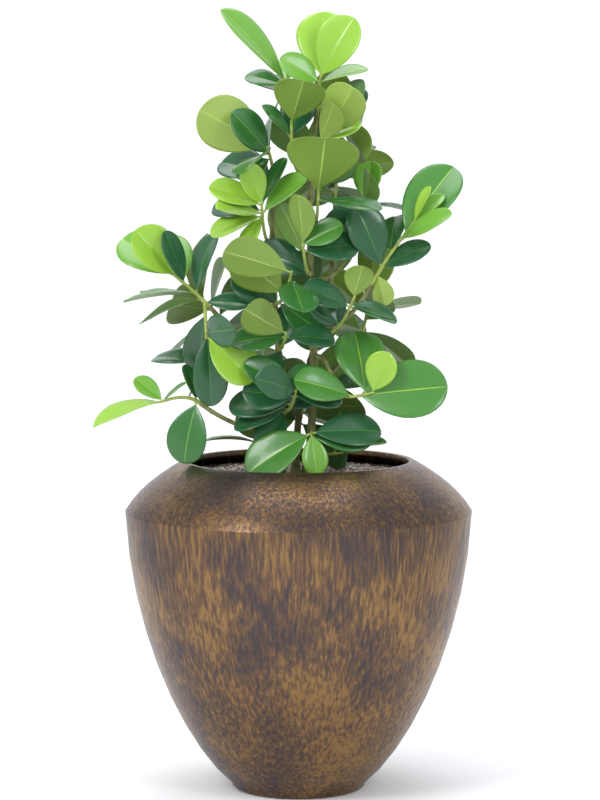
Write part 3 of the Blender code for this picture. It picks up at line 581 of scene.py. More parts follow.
# Masses: carrier, the height the stem leaves it at or None from its tip, and the shoots
MASSES = {
    "foliage_top": ("stem_centre", None, [
        Shoot((0.031, -0.006, 1.022), 1, 0.070, 100, 60, 60, 0.8, 0.2, [
            (27, 14, 0.098, 20, 1.15, 0.0), (3, -16, 0.104, 10, 1.1, 0.0),
        ]),
        Shoot((0.064, 0.012, 0.958), 2, 0.072, 20, 60, 40, 0.8, 0.5, [
            (25, 0, 0.058, 30, 0.9, 0.9),
        ])]),
    "foliage_top_left": ("stem_centre", 0.925, [
        Shoot((-0.019, 0.004, 1.016), 1, 0.085, 30, 60, 60, 0.8, 0.5, [
            (-36, 5, 0.138, 50, 0.8, 0.3), (-68, -10, 0.062, 30, 0.9, 0.8, 0.95),
            (-5, -10, 0.050, 20, 0.9, 0.4, 0.95),
        ])]),
    "foliage_top_front": ("stem_centre", 0.880, [
        Shoot((-0.010, -0.044, 0.958), 0, 0.090, 20, 60, 24, 0.8, 0.3, [
            (15, 42, 0.096, 165, 1.2, 0.3), (-37, 10, 0.062, 50, 0.8, 0.7, 0.8),
            (8, -30, 0.080, 10, 1.0, 1.0, 0.8),
        ]),
        Shoot((0.034, -0.044, 0.940), 1, 0.090, 30, 60, 20, 0.8, 0.4, [
            (32, 18, 0.088, 170, 1.15, 0.3), (62, 0, 0.062, 30, 1.1, 0.0, 0.9),
        ])]),
    "foliage_upper_left": ("stem_left", None, [
        Shoot((-0.044, -0.022, 0.922), 2, 0.100, 150, 70, 70, 1.2, 0.7, [
            (-60, -5, 0.112, 160, 1.1, 0.3), (-36, 30, 0.086, 20, 0.95, 0.8, 0.8),
            (-112, 35, 0.062, 20, 0.9, 0.6, 0.7),
        ])]),
    "foliage_upper_centre": ("stem_centre", 0.800, [
        Shoot((0.028, -0.062, 0.862), 2, 0.100, 60, 75, 75, 1.0, 0.8, [
            (8, 40, 0.116, 175, 1.35, 0.5),
        ])]),
    "foliage_centre_upper": ("stem_centre", 0.745, [
        Shoot((0.006, -0.060, 0.786), 2, 0.090, 80, 75, 75, 1.0, 0.8, [
            (-2, 22, 0.082, 150, 0.8, 0.5), (58, 12, 0.064, 15, 1.0, 0.5),
            (-24, 5, 0.082, 150, 0.9, 0.7, 0.8),
        ])]),
    "foliage_mid_left": ("stem_left", 0.790, [
        Shoot((-0.052, -0.048, 0.842), 1, 0.086, 80, 80, 45, 1.0, 0.1, [
            (-62, 12, 0.080, 30, 0.95, 0.1), (-34, -5, 0.070, 20, 0.95, 0.0),
            (20, 10, 0.076, 40, 0.6, 0.7), (-78, -20, 0.082, 20, 0.9, 0.9, 0.9),
            (-98, 8, 0.082, 40, 0.9, 0.1, 0.8), (-138, 20, 0.060, 30, 0.9, 0.0, 0.8),
        ])]),
    "foliage_left_fan": ("bough_left", None, [
        Shoot((-0.174, -0.050, 0.742), 0, 0.100, 70, 95, 28, 0.9, 0.4, [
            (-39, 18, 0.088, 10, 1.15, 0.0), (-50, -18, 0.104, 15, 1.05, 0.3),
            (-12, 25, 0.084, 40, 0.7, 0.9, 0.75), (-24, -32, 0.100, 15, 1.0, 0.3, 0.75),
            (2, -8, 0.096, 50, 0.75, 0.8, 0.4), (-90, -5, 0.103, 70, 0.85, 0.3, 0.45),
            (-96, 26, 0.106, 90, 0.8, 0.8, 0.25), (85, 15, 0.062, 30, 0.9, 0.9, 0.14),
        ]),
        Shoot((-0.130, -0.072, 0.658), 1, 0.080, 150, 60, 60, 1.0, 0.8, [
            (132, 12, 0.092, 10, 1.1, 0.1), (-170, -8, 0.098, 15, 0.85, 0.9, 0.3),
            (174, 2, 0.106, 15, 0.75, 0.9, 0.9),
        ])]),
    "foliage_left_mid": ("stem_left", 0.585, [
        Shoot((-0.148, -0.018, 0.616), 2, 0.080, 30, 75, 75, 1.0, 0.9, [
            (-92, 5, 0.086, 30, 1.05, 1.0),
        ])]),
    "foliage_right_fan": ("bough_right", None, [
        Shoot((0.164, -0.032, 0.818), 0, 0.100, 80, 80, 22, 0.8, 0.5, [
            (20, 8, 0.056, 50, 0.6, 0.0), (40, 0, 0.058, 30, 0.7, 0.1),
            (33, -14, 0.134, 20, 0.9, 0.5, 0.75), (55, 26, 0.088, 40, 0.75, 0.2, 0.70),
            (-19, 16, 0.098, 15, 0.95, 0.9, 0.25), (56, 12, 0.078, 30, 0.85, 0.9, 0.25),
            (172, 10, 0.048, 160, 1.1, 0.3, 0.15), (0, -40, 0.080, 30, 0.9, 0.7, 0.5),
        ])]),
    "foliage_upper_right": ("bough_upper_right", None, [
        Shoot((0.096, 0.012, 0.846), 2, 0.086, 30, 70, 70, 0.8, 0.7, [
            (6, -5, 0.060, 20, 1.15, 0.2), (88, 5, 0.066, 60, 0.8, 0.8, 0.9),
        ])]),
    "foliage_centre": ("stem_left", 0.700, [
        Shoot((-0.010, -0.076, 0.748), 2, 0.086, 20, 70, 70, 1.0, 0.7, [
            (-68, 12, 0.110, 150, 0.85, 0.5), (-50, 22, 0.104, 160, 1.0, 0.5, 0.5),
        ])]),
    "foliage_centre_low": ("stem_left", 0.635, [
        Shoot((-0.018, -0.066, 0.662), 2, 0.080, 110, 80, 80, 1.0, 0.8, [
            (-56, 25, 0.082, 160, 1.0, 0.5),
        ])]),
    "foliage_right_mid": ("stem_centre", 0.655, [
        Shoot((0.078, -0.066, 0.712), 1, 0.070, 100, 80, 80, 1.0, 0.8, [
            (12, 20, 0.054, 165, 1.2, 0.4), (96, 5, 0.062, 40, 0.85, 0.9, 0.9),
            (-30, 10, 0.066, 20, 0.9, 0.9, 0.5),
        ])]),
    "foliage_lower_left": ("bough_lower_left", None, [
        Shoot((-0.192, -0.062, 0.566), 0, 0.108, 60, 95, 65, 1.0, 0.6, [
            (-101, 8, 0.106, 55, 0.9, 0.15), (-48, 0, 0.052, 20, 0.9, 0.4),
            (44, -10, 0.042, 60, 0.7, 0.5), (-169, 12, 0.094, 10, 1.0, 0.9, 0.1),
            (-8, -5, 0.056, 50, 0.8, 0.8, 0.1),
        ])]),
    "foliage_lower_centre": ("stem_left", 0.548, [
        Shoot((-0.004, -0.070, 0.580), 2, 0.080, 110, 80, 80, 1.2, 0.9, [
            (-52, 20, 0.086, 20, 0.9, 0.8), (-74, 30, 0.088, 15, 0.9, 1.0),
            (-84, 0, 0.092, 20, 0.9, 1.0, 0.6), (-100, 10, 0.084, 40, 0.8, 1.0, 0.4),
        ])]),
    "foliage_lower_right": ("bough_lower_right", None, [
        Shoot((0.104, -0.066, 0.578), 0, 0.128, 0, 88, 40, 1.0, 0.5, [
            (80, 14, 0.132, -5, 1.0, 0.6, 0.62), (14, 8, 0.066, 15, 1.15, 0.0),
            (-8, -20, 0.102, 10, 1.15, 0.5, 0.85), (48, -24, 0.062, 20, 1.0, 0.7, 0.85),
            (-73, 14, 0.092, 20, 0.95, 0.6, 0.55), (-66, 12, 0.078, 20, 0.9, 0.7, 0.14),
            (60, -40, 0.070, 20, 0.9, 0.9, 0.14),
        ])]),
    "foliage_front_low": ("stem_centre", 0.492, [
        Shoot((0.018, -0.062, 0.520), 1, 0.100, 90, 100, 75, 1.2, 0.6, [
            (-118, 10, 0.109, 15, 1.0, 0.6), (83, 0, 0.102, 20, 0.85, 0.9),
            (170, 25, 0.060, 10, 1.0, 0.3), (76, 42, 0.066, 40, 0.8, 0.2, 0.9),
        ])]),
    "foliage_low_right": ("stem_right", 0.480, [
        Shoot((0.060, -0.010, 0.486), 1, 0.062, 60, 80, 80, 1.0, 0.5, [
            (64, 10, 0.070, 60, 0.8, 0.4),
        ])]),
    "foliage_low_left": ("stem_left", 0.495, [
        Shoot((-0.060, 0.010, 0.500), 1, 0.062, 60, 80, 80, 1.0, 0.7, [
            (-76, 5, 0.074, 75, 0.8, 0.6),
        ])]),
    "foliage_back_top": ("stem_centre", 0.860, [
        Shoot((0.030, 0.066, 0.950), 3, 0.104, 30, 75, 30, 0.8, 0.5)]),
    "foliage_back_upper": ("stem_right", None, [
        Shoot((0.056, 0.060, 0.880), 4, 0.104, 60, 80, 30, 0.8, 0.5)]),
    "foliage_back_mid": ("stem_right", 0.700, [
        Shoot((-0.010, 0.104, 0.765), 3, 0.104, 30, 85, 40, 1.0, 0.6)]),
    "foliage_back_left": ("bough_back_left", None, [
        Shoot((-0.140, 0.092, 0.700), 4, 0.104, 60, 95, 40, 1.0, 0.5)]),
    "foliage_back_right": ("bough_back_right", None, [
        Shoot((0.100, 0.108, 0.700), 4, 0.092, 20, 95, 35, 1.0, 0.5)]),
    "foliage_back_low": ("stem_right", 0.520, [
        Shoot((0.010, 0.120, 0.575), 4, 0.104, 60, 100, 60, 1.0, 0.6)]),
}

print("masses", len(MASSES))

# %% [markdown]
# ## The limbs' runs
#
# A limb is a row of points with a radius at each. A stem stands upright at its cut foot,
# flares there and sways. A side limb leaves its carrier square to the bark and then turns
# up, as real shoots do, and a limb that carries on from another's tip keeps its direction.

# %% Sizes of the limbs
# Flares, bends and the fork are shares, and the other sizes are in metres
STEM_POINTS = 15
STEM_FLARE = 1.7
COLLAR_FLARE = 1.18
COLLAR_RISE = 0.012
BOUGH_POINTS = 9
SHOOT_FOOT_RADIUS = 0.0030
SHOOT_TIP_RADIUS = 0.0019
SHOOT_POINTS = 6
SQUARE_RUN = 0.006
SQUARE_SHARE = 0.2
SIDE_BEND = 0.42
STRAIGHT_RUN = 0.004
RUN_ON_BEND = 0.4
FORK_AT = 0.15
FORK_RUN = 0.02
BUD_LENGTH = 0.004
BUD_TAPER = 0.55


# %% Runs of the limbs
def tapered(foot_radius, tip_radius, count):
    """Radii that fall evenly from a limb's foot to its tip."""
    return [foot_radius + (tip_radius - foot_radius) * i / (count - 1) for i in range(count)]


def stem_run(name):
    """A stem's points and radii: upright at its cut foot, flared there, then a slow sway."""
    foot, tip, sway, foot_radius, tip_radius = STEMS[name]
    base = Vector((foot[0], foot[1], FILL_TOP + GAP))
    points = [base, base + Vector((0.0, 0.0, COLLAR_RISE))]
    radii = [foot_radius * STEM_FLARE, foot_radius * COLLAR_FLARE]
    for i in range(1, STEM_POINTS):
        share = i / (STEM_POINTS - 1)
        point = base.lerp(Vector(tip), share)
        bend = sin(2 * pi * share)
        point.x += sway[0] * bend
        point.y += sway[1] * bend
        points.append(point)
        radii.append(foot_radius + (tip_radius - foot_radius) * share)
    return points, radii


def point_at_height(points, radii, height):
    """Where a run passes a height: the point, the limb's radius and its direction there."""
    for a, b, ra, rb in zip(points, points[1:], radii, radii[1:]):
        if a.z <= height <= b.z:
            share = (height - a.z) / (b.z - a.z)
            return a.lerp(b, share), ra + (rb - ra) * share, (b - a).normalized()
    return points[-1], radii[-1], (points[-1] - points[-2]).normalized()


def side_run(carrier, height, target, foot_radius, tip_radius, count):
    """A side limb: its foot just off its carrier's bark, square to it at first, then up."""
    centre, carrier_radius, along = point_at_height(*carrier, height)
    out = target - centre
    out -= out.dot(along) * along
    out.normalize()
    start = centre + out * (carrier_radius + GAP)
    reach = (target - start).length
    near = start + out * min(SQUARE_RUN, reach * SQUARE_SHARE)
    bend = near + out * reach * SIDE_BEND
    points = [start] + curve_points([near, bend, target], count - 1)
    return points, tapered(foot_radius, tip_radius, count)


def run_on(carrier, target):
    """A shoot that carries on from its carrier's tip, with their ends a gap apart."""
    points, radii = carrier
    along = (points[-1] - points[-2]).normalized()
    begin = points[-1] + along * GAP
    reach = (target - begin).length
    near = begin + along * STRAIGHT_RUN
    bend = near + along * reach * RUN_ON_BEND
    points = [begin] + curve_points([near, bend, target], SHOOT_POINTS - 1)
    return points, tapered(radii[-1], SHOOT_TIP_RADIUS, len(points))


def forked_run(points, target):
    """A second shoot that forks off low on a mass's first one."""
    node, _ = run_at(points, FORK_AT)
    near = node + (target - node).normalized() * FORK_RUN
    run = curve_points([node, near, target], SHOOT_POINTS)
    return run, tapered(SHOOT_FOOT_RADIUS, SHOOT_TIP_RADIUS, SHOOT_POINTS)


def run_at(points, share):
    """The point and the direction at a share of a run's length."""
    lengths = [(b - a).length for a, b in zip(points, points[1:])]
    wanted = share * sum(lengths)
    i = 0
    while wanted > lengths[i] and i < len(lengths) - 1:
        wanted -= lengths[i]
        i += 1
    a, b = points[i], points[i + 1]
    return a.lerp(b, min(wanted / lengths[i], 1.0)), (b - a).normalized()


# %% [markdown]
# ## The leaf's form
#
# The leaf is obovate: a short stalk, a wedge that widens, and a broad rounded end. Two
# powers of the blade's length give that outline. The midrib is an arc that bends away from
# the upper face, and the two halves fold up a little from it.

# %% Leaf outline and midrib
# Widths and thicknesses here are shares of the leaf's length
PETIOLE_SHARE = 0.07
PETIOLE_HALF_WIDTH = 0.018
BLADE_HALF_WIDTH = 0.335
BLADE_BASE_POWER = 0.85
BLADE_TIP_POWER = 0.58
RIB_HALF_THICKNESS = 0.008


def half_width(share):
    """Half the blade's width as a share of its length: a narrow stalk, then obovate."""
    blade = min(max((share - PETIOLE_SHARE) / (1 - PETIOLE_SHARE), 0.0), 1.0)
    widest = BLADE_BASE_POWER / (BLADE_BASE_POWER + BLADE_TIP_POWER)
    swell = (blade / widest) ** BLADE_BASE_POWER * ((1 - blade) / (1 - widest)) ** BLADE_TIP_POWER
    return max(PETIOLE_HALF_WIDTH * (1 - blade), BLADE_HALF_WIDTH * swell)


def leaf_frame(leaf, share):
    """At a share of the length: the midrib's point, the way across the blade and the upper
    face's normal. The midrib is an arc that bends away from the upper face."""
    length, bend, way, up = leaf["length"], leaf["bend"], leaf["way"], leaf["up"]
    turned_by = bend * share
    along = length * sin(turned_by) / bend
    drop = length * (1 - cos(turned_by)) / bend
    point = leaf["root"] + way * along - up * drop
    way_here = way * cos(turned_by) - up * sin(turned_by)
    up_here = up * cos(turned_by) + way * sin(turned_by)
    return point, way_here.cross(up_here).normalized(), up_here


print("a leaf is", round(2 * BLADE_HALF_WIDTH, 2), "of its length wide")

# %% [markdown]
# ## Where leaves stand
#
# A leaf is placed by its shoot's rule or by its own row in the table. Each one is tried a
# few times, wandering a little, until it stands clear of everything that already grew, and
# is left out where it can't.

# %% A leaf by rule and by row
# Bends and folds are in degrees, the twist is in radians and the rest are shares
LEAF_BEND = (8, 20)
AGED_BEND = 12
LEAF_FOLD = (8, 16)
YOUNG_FOLD = 8
RULED_TWIST = 0.35
RULED_BREADTH = (0.9, 1.08)
FACE_AT = 0.6
FACE_RISE = 0.25
VIEW_RISE = 0.35
FORWARD_WANDER = 1.5
ROUND_WANDER = 1.6


def new_leaf(root, way, up, length, breadth, age, chance):
    """A leaf from its root, the way its midrib sets out and the way its upper face looks."""
    return {
        "root": root,
        "way": way,
        "up": up,
        "length": length,
        "bend": radians(chance.uniform(*LEAF_BEND) + AGED_BEND * age),
        "fold": radians(chance.uniform(*LEAF_FOLD) + YOUNG_FOLD * (1 - age)),
        "breadth": breadth,
        "age": age,
    }


def ruled_leaf(node, axis, angle, spread, length, lean, age, chance):
    """A leaf at a node of a shoot by the shoot's rule: an angle round the axis, a spread
    away from it, and an upper face that looks up the shoot and leans to the outside."""
    front = Vector((0.0, -1.0, 0.0))
    front -= front.dot(axis) * axis
    front.normalize()
    out = front * cos(angle) + axis.cross(front) * sin(angle)
    way = axis * cos(spread) + out * sin(spread)
    up = axis * sin(spread) - out * cos(spread)
    middle = node + way * length * FACE_AT
    face = Vector((middle.x, middle.y, 0.0)).normalized() + Vector((0.0, 0.0, FACE_RISE))
    up = up + face.normalized() * lean
    up -= up.dot(way) * way
    twist = chance.uniform(-RULED_TWIST, RULED_TWIST)
    up = Matrix.Rotation(twist, 3, way) @ up.normalized()
    return new_leaf(node, way, up, length, chance.uniform(*RULED_BREADTH), age, chance)


def chosen_leaf(node, row, wander, chance):
    """A leaf that stands out, from its row, wandering a little to find clear space."""
    clock = radians(row.clock) + chance.uniform(-wander, wander)
    forward = radians(row.forward) + chance.uniform(-wander, wander) * FORWARD_WANDER
    way = Vector((
        sin(clock) * cos(forward),
        -sin(forward),
        cos(clock) * cos(forward),
    ))
    up = Vector((0.0, -1.0, VIEW_RISE))
    up -= up.dot(way) * way
    turn = radians(row.face) * (1 if sin(clock) < 0 else -1)
    up = Matrix.Rotation(turn + chance.uniform(-wander, wander), 3, way) @ up.normalized()
    return new_leaf(node, way, up, row.length, row.breadth, row.age, chance)


# %% [markdown]
# ## Clear space
#
# To test a new leaf against what already grew, both are taken as plain forms, the leaves
# thicker than they are, and Blender's BVH trees find where two of them cross.

# %% Plain forms
PLANTER_SIDES = 32
TUBE_SIDES = 6
LEAF_STATIONS = (0.10, 0.30, 0.56, 0.80, 0.95)
LEAF_SIDES = 4
CLEAR_THICKNESS = 2.6


def ring(point, across, other, radius, sides):
    """Corners round a point, in the plane of two directions that are square to each other."""
    angles = [2 * pi * k / sides for k in range(sides)]
    return [point + (across * cos(a) + other * sin(a)) * radius for a in angles]


def ring_faces(rings, sides):
    """Faces from each ring of corners to the next."""
    faces = []
    for low in range(0, (rings - 1) * sides, sides):
        for k in range(sides):
            after = (k + 1) % sides
            faces.append((low + k, low + after, low + sides + after, low + sides + k))
    return faces


def turned_shape(profile):
    """Corners and faces of a turned profile."""
    corners = []
    faces = []
    count = len(profile)
    for k in range(PLANTER_SIDES):
        angle = 2 * pi * k / PLANTER_SIDES
        corners += [Vector((p.x * cos(angle), p.x * sin(angle), p.y)) for p in profile]
        here, after = k * count, (k + 1) % PLANTER_SIDES * count
        for i in range(count - 1):
            faces.append((here + i, here + i + 1, after + i + 1, after + i))
    return corners, faces


def tube(points, radii):
    """Corners and faces of a plain tube."""
    corners = []
    for i, (point, radius) in enumerate(zip(points, radii)):
        along = (points[min(i + 1, len(points) - 1)] - points[max(i - 1, 0)]).normalized()
        across = along.orthogonal().normalized()
        corners += ring(point, across, along.cross(across), radius, TUBE_SIDES)
    return corners, ring_faces(len(points), TUBE_SIDES)


def leaf_wedge(leaf):
    """Corners and faces of a leaf past its stalk: a thick diamond section at each station,
    folded up along the midrib, and one point at the tip."""
    corners = []
    deep = RIB_HALF_THICKNESS * leaf["length"] * CLEAR_THICKNESS
    for share in LEAF_STATIONS:
        point, side, up = leaf_frame(leaf, share)
        half = half_width(share) * leaf["length"] * leaf["breadth"]
        rise = up * half * sin(leaf["fold"])
        reach = half * cos(leaf["fold"])
        corners += [
            point + side * reach + rise,
            point + up * deep,
            point - side * reach + rise,
            point - up * deep,
        ]
    tip = len(corners)
    low = tip - LEAF_SIDES
    faces = ring_faces(len(LEAF_STATIONS), LEAF_SIDES)
    faces += [(low + k, low + (k + 1) % LEAF_SIDES, tip) for k in range(LEAF_SIDES)]
    return corners + [leaf_frame(leaf, 1.0)[0]], faces


# %% Space that is taken
class Space:
    """What already stands in the crown, so that each new leaf keeps clear of it."""

    def __init__(self):
        self.taken = []

    def measured(self, corners, faces):
        """A form's lowest and highest corner and its tree."""
        low = [min(c[i] for c in corners) for i in range(3)]
        high = [max(c[i] for c in corners) for i in range(3)]
        return low, high, BVHTree.FromPolygons(corners, faces, epsilon=0.0)

    def add(self, corners, faces, owner=""):
        self.taken.append((owner, *self.measured(corners, faces)))

    def clear(self, corners, faces, own_twig):
        """Whether a form crosses nothing but the twig that it grows on."""
        low, high, tree = self.measured(corners, faces)
        for owner, other_low, other_high, other in self.taken:
            apart = any(high[i] < other_low[i] or low[i] > other_high[i] for i in range(3))
            if owner != own_twig and not apart and tree.overlap(other):
                return False
        return True


# %% [markdown]
# ## Growth
#
# The limbs come first, then the leaves that stand out, and the pairs that follow the rule
# fill in between them. A leaf that is tried again wanders further and is a little shorter.

# %% One shoot's leaves
# Angles in radians, and the rest as shares of a shoot, a leaf or an age
LEAF_TRIES = 14
FIRST_WANDER = 0.03
MORE_WANDER = 0.05
LESS_LENGTH = 0.012
PAIRS_RUN = 0.72
PAIRS_POWER = 0.85
TIP_ROOM = 0.15
AGEING = 0.6
RULED_LENGTH = (0.92, 1.06)


def settle(twig, make, space):
    """The first try at a leaf that stands clear of everything else, or none, as a list."""
    for attempt in range(LEAF_TRIES):
        leaf = make(FIRST_WANDER + MORE_WANDER * attempt, 1 - LESS_LENGTH * attempt)
        corners, faces = leaf_wedge(leaf)
        if space.clear(corners, faces, twig):
            space.add(corners, faces)
            return [leaf]
    return []


def chosen_leaves(twig, run, shoot, space, chance):
    """The leaves of a shoot that stand out."""
    leaves = []
    for row in (Leaf(*values) for values in shoot.leaves):
        node, _ = run_at(run[0], row.at)

        def make(wander, share):
            leaf = chosen_leaf(node, row, wander, chance)
            leaf["length"] *= share
            return leaf

        leaves += settle(twig, make, space)
    return leaves


def ruled_leaves(twig, run, shoot, space, chance):
    """Pairs of leaves along a shoot, each pair turned square to the next. The top pair
    is young and upright, and the lower ones spread."""
    leaves = []
    top = 1.0 - TIP_ROOM * bool(shoot.leaves)
    for pair in range(shoot.pairs):
        from_top = pair / max(shoot.pairs - 1, 1)
        node, axis = run_at(run[0], top - PAIRS_RUN * from_top ** PAIRS_POWER)
        age = shoot.age + (1 - shoot.age) * AGEING * from_top
        spread = radians(shoot.top + (shoot.low - shoot.top) * from_top)
        for half in range(2):
            angle = radians(shoot.turn + 90 * pair + 180 * half)

            def make(wander, share):
                return ruled_leaf(
                    node,
                    axis,
                    angle + chance.uniform(-wander, wander) * ROUND_WANDER,
                    spread + chance.uniform(-wander, wander),
                    shoot.leaf * share * chance.uniform(*RULED_LENGTH),
                    shoot.lean,
                    age,
                    chance,
                )

            leaves += settle(twig, make, space)
    return leaves


# %% The whole plant
def grow_limbs(space):
    """The stems and the boughs as runs."""
    limbs = {name: stem_run(name) for name in STEMS}
    for name, (stem, height, tip, foot_radius, tip_radius) in BOUGHS.items():
        limbs[name] = side_run(limbs[stem], height, Vector(tip), foot_radius, tip_radius, BOUGH_POINTS)
    for run in limbs.values():
        space.add(*tube(*run))
    return limbs


def shoot_run(limb, height, first, target):
    """A shoot's run: forked off the mass's first one, on from a limb's tip, or off its side."""
    if first:
        return forked_run(first[0], target)
    if height is None:
        return run_on(limb, target)
    return side_run(limb, height, target, SHOOT_FOOT_RADIUS, SHOOT_TIP_RADIUS, SHOOT_POINTS)


def grow():
    """The whole plant: the limbs' runs, and for each mass its shoots' runs and its leaves."""
    space = Space()
    space.add(*turned_shape(pot_profile()[1:-1]))
    space.add(*turned_shape(filling_profile()[:2]))
    limbs = grow_limbs(space)
    plan = {}
    for number, (name, (carrier, height, shoots)) in enumerate(MASSES.items()):
        plan[name] = {"runs": [], "leaves": [], "chance": random.Random(number * 7 + 3)}
        for index, shoot in enumerate(shoots):
            runs = plan[name]["runs"]
            runs.append(shoot_run(limbs[carrier], height, runs[0] if runs else None, Vector(shoot.tip)))
            space.add(*tube(*runs[-1]), name + str(index))
    for grow_on in (chosen_leaves, ruled_leaves):
        for name, mass in plan.items():
            for index, (run, shoot) in enumerate(zip(mass["runs"], MASSES[name][2])):
                mass["leaves"] += grow_on(name + str(index), run, shoot, space, mass["chance"])
    return limbs, plan


limbs, plan = grow()
all_leaves = [leaf for mass in plan.values() for leaf in mass["leaves"]]
print("limbs", len(limbs), "masses", len(plan), "leaves", len(all_leaves))

# %% [markdown]
# ## Green bark
#
# Young stems of this tree are smooth, green and jointed: each old pair of leaves leaves a
# slight swelling with a ring scar. A tube of many short rings follows each run, wider at
# the joints. The bark goes from olive brown on the stems to yellow-green on the shoots.

# %% Bark
# The mottling is about 11 mm across, so it has 90 mottles a metre
MOTTLES = 90.0
MOTTLE_RANGE = (0.38, 0.62)


def bark(name, young, old, roughness):
    """Smooth young bark, mottled a little between its two tones."""
    made = new_material(name, young, roughness)
    tree = made.node_tree
    place = add_node(tree, "TexCoord").outputs["Object"]
    mottle = add_node(tree, "TexNoise", {"Scale": MOTTLES, "Detail": 4.0}, Vector=place)
    tones = add_node(tree, "ValToRGB", Fac=mottle.outputs["Fac"])
    set_tones(tones.color_ramp, list(zip(MOTTLE_RANGE, (old, young))))
    feed(made, Base_Color=tones.outputs["Color"])
    return made


# %% Jointed limbs
JOINT_SPACING = 0.042
JOINT_WIDTH = 0.0022
JOINT_SWELL = 0.22
SCAR_WIDTH = 0.0006
SCAR_DEPTH = 0.10
RING_STEP = 0.0012
LIMB_SIDES = 14
TINY = 1e-9


def smooth_run(points, radii):
    """The run as closely spaced points on a smooth curve through its own points, each with
    its radius and how far along it lies."""
    lengths = [0.0]
    for a, b in zip(points, points[1:]):
        lengths.append(lengths[-1] + (b - a).length)
    count = max(int(lengths[-1] / RING_STEP), 4)
    found = []
    for i in range(count + 1):
        at = lengths[-1] * i / count
        k = max(j for j in range(len(points) - 1) if lengths[j] <= at + TINY)
        s = (at - lengths[k]) / max(lengths[k + 1] - lengths[k], TINY)
        before = points[max(k - 1, 0)]
        beyond = points[min(k + 2, len(points) - 1)]
        a, b = points[k], points[k + 1]
        point = 0.5 * ((2 * a) + (b - before) * s
                       + (2 * before - 5 * a + 4 * b - beyond) * s ** 2
                       + (3 * a - before - 3 * b + beyond) * s ** 3)
        found.append((point, radii[k] + (radii[k + 1] - radii[k]) * s, at))
    return found


def limb_shape(points, radii, phase):
    """A jointed limb's points, faces and slots, with rounded swellings and closed ends."""
    run = smooth_run(points, radii)
    corners = []
    across = None
    for i, (point, radius, at) in enumerate(run):
        along = (run[min(i + 1, len(run) - 1)][0] - run[max(i - 1, 0)][0]).normalized()
        across = along.orthogonal() if across is None else across - across.dot(along) * along
        across.normalize()
        off = (at + phase) % JOINT_SPACING - JOINT_SPACING / 2
        radius *= 1 + JOINT_SWELL * exp(-(off / JOINT_WIDTH) ** 2)
        radius *= 1 - SCAR_DEPTH * exp(-(off / SCAR_WIDTH) ** 2)
        corners += ring(point, across, along.cross(across), radius, LIMB_SIDES)
    faces = ring_faces(len(run), LIMB_SIDES)
    faces.append(tuple(range(LIMB_SIDES))[::-1])
    faces.append(tuple(range(len(corners) - LIMB_SIDES, len(corners))))
    return corners, faces, [0] * len(faces)


def budded(points, radii):
    """A shoot's run carried on past its last pair of leaves into a short blunt bud."""
    along = (points[-1] - points[-2]).normalized()
    return points + [points[-1] + along * BUD_LENGTH], radii + [radii[-1] * BUD_TAPER]


# %% Stems, boughs and shoots
# Each limb's joints start this much further along than those of the one before
LIMB_PHASE = 0.011
SHOOT_PHASE = 0.007

wood = joined(
    "stems_and_boughs",
    [limb_shape(*run, LIMB_PHASE * i) for i, run in enumerate(limbs.values())],
    [bark("jointed green bark", "8A9152", "6A6A3C", 0.5)],
)
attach(wood, "root")
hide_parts(*limbs)
shoots = joined(
    "green_shoots",
    [
        limb_shape(*budded(*run), SHOOT_PHASE * i)
        for i, mass in enumerate(plan.values())
        for run in mass["runs"]
    ],
    [bark("young shoot bark", "9CAB52", "84963F", 0.42)],
)
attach(shoots, "root")
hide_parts(*plan)
print("bark faces", len(wood.data.polygons) + len(shoots.data.polygons))

# %% [markdown]
# ## Thick leaves
#
# The leaves are thick and leathery, glossy above and paler below, with a pale midrib that is
# sunk in the upper face and stands out below. Each leaf is a closed mesh with its own curl
# and wave. Its age picks the tone, from bright young green to dark blue-green, so the
# colours are plain and each leaf keeps one.

# %% Leaf tones
UPPER_TONES = ("8CB83A", "68A035", "437E2F", "2E682C", "255733")
LOWER_TONES = ("A9C25E", "8FA84A", "76923A", "5F8238", "4B743C")
STALK_TONE = "8FA84A"
STALK_SLOT = len(UPPER_TONES) + len(LOWER_TONES)
UPPER_ROUGHNESS = 0.27
UPPER_COAT = 0.15
LOWER_ROUGHNESS = 0.42
STALK_ROUGHNESS = 0.4

leaf_materials = []
for i, tone in enumerate(UPPER_TONES):
    name = "leaf upper face " + str(i)
    leaf_materials.append(new_material(name, tone, UPPER_ROUGHNESS, coat=UPPER_COAT))
for i, tone in enumerate(LOWER_TONES):
    leaf_materials.append(new_material("leaf underside " + str(i), tone, LOWER_ROUGHNESS))
leaf_materials.append(new_material("leaf stalk", STALK_TONE, STALK_ROUGHNESS))
print("leaf materials", len(leaf_materials))

# %% [markdown]
# ## The leaf's surface
#
# A grid of points covers each side of the leaf, and a rim of faces closes them. The real
# blade folds softly along its midrib, curls down and waves a little, and has a thin edge.

# %% Points of a leaf
# Where the rows of points cross the leaf, from its root to near its tip
LEAF_SHARES = (
    0.0, 0.03, 0.07, 0.12, 0.20, 0.30, 0.40, 0.50,
    0.60, 0.70, 0.78, 0.85, 0.90, 0.94, 0.97, 0.99,
)
# The places across a row, from one edge to the other; the middle two hold the midrib
LEAF_ACROSS = (-1.0, -0.88, -0.64, -0.36, -0.14, -0.022, 0.022, 0.14, 0.36, 0.64, 0.88, 1.0)
ROWS = len(LEAF_SHARES)
COLUMNS = len(LEAF_ACROSS)
# Thicknesses are in metres, the wave's angles in radians and the rest shares
LEAF_THICKNESS = 0.0011
LEAF_EDGE_THICKNESS = 0.0006
FOLD_ROUNDING = 0.1
WAVE_ANGLE = 9
OTHER_HALF_PHASE = 2.0
MIDRIB_HALF = 0.05
RIB_SUNK = 0.75
RIB_PROUD = 1.6
STALK_REACH = 0.12
STALK_EXTRA = 0.0008


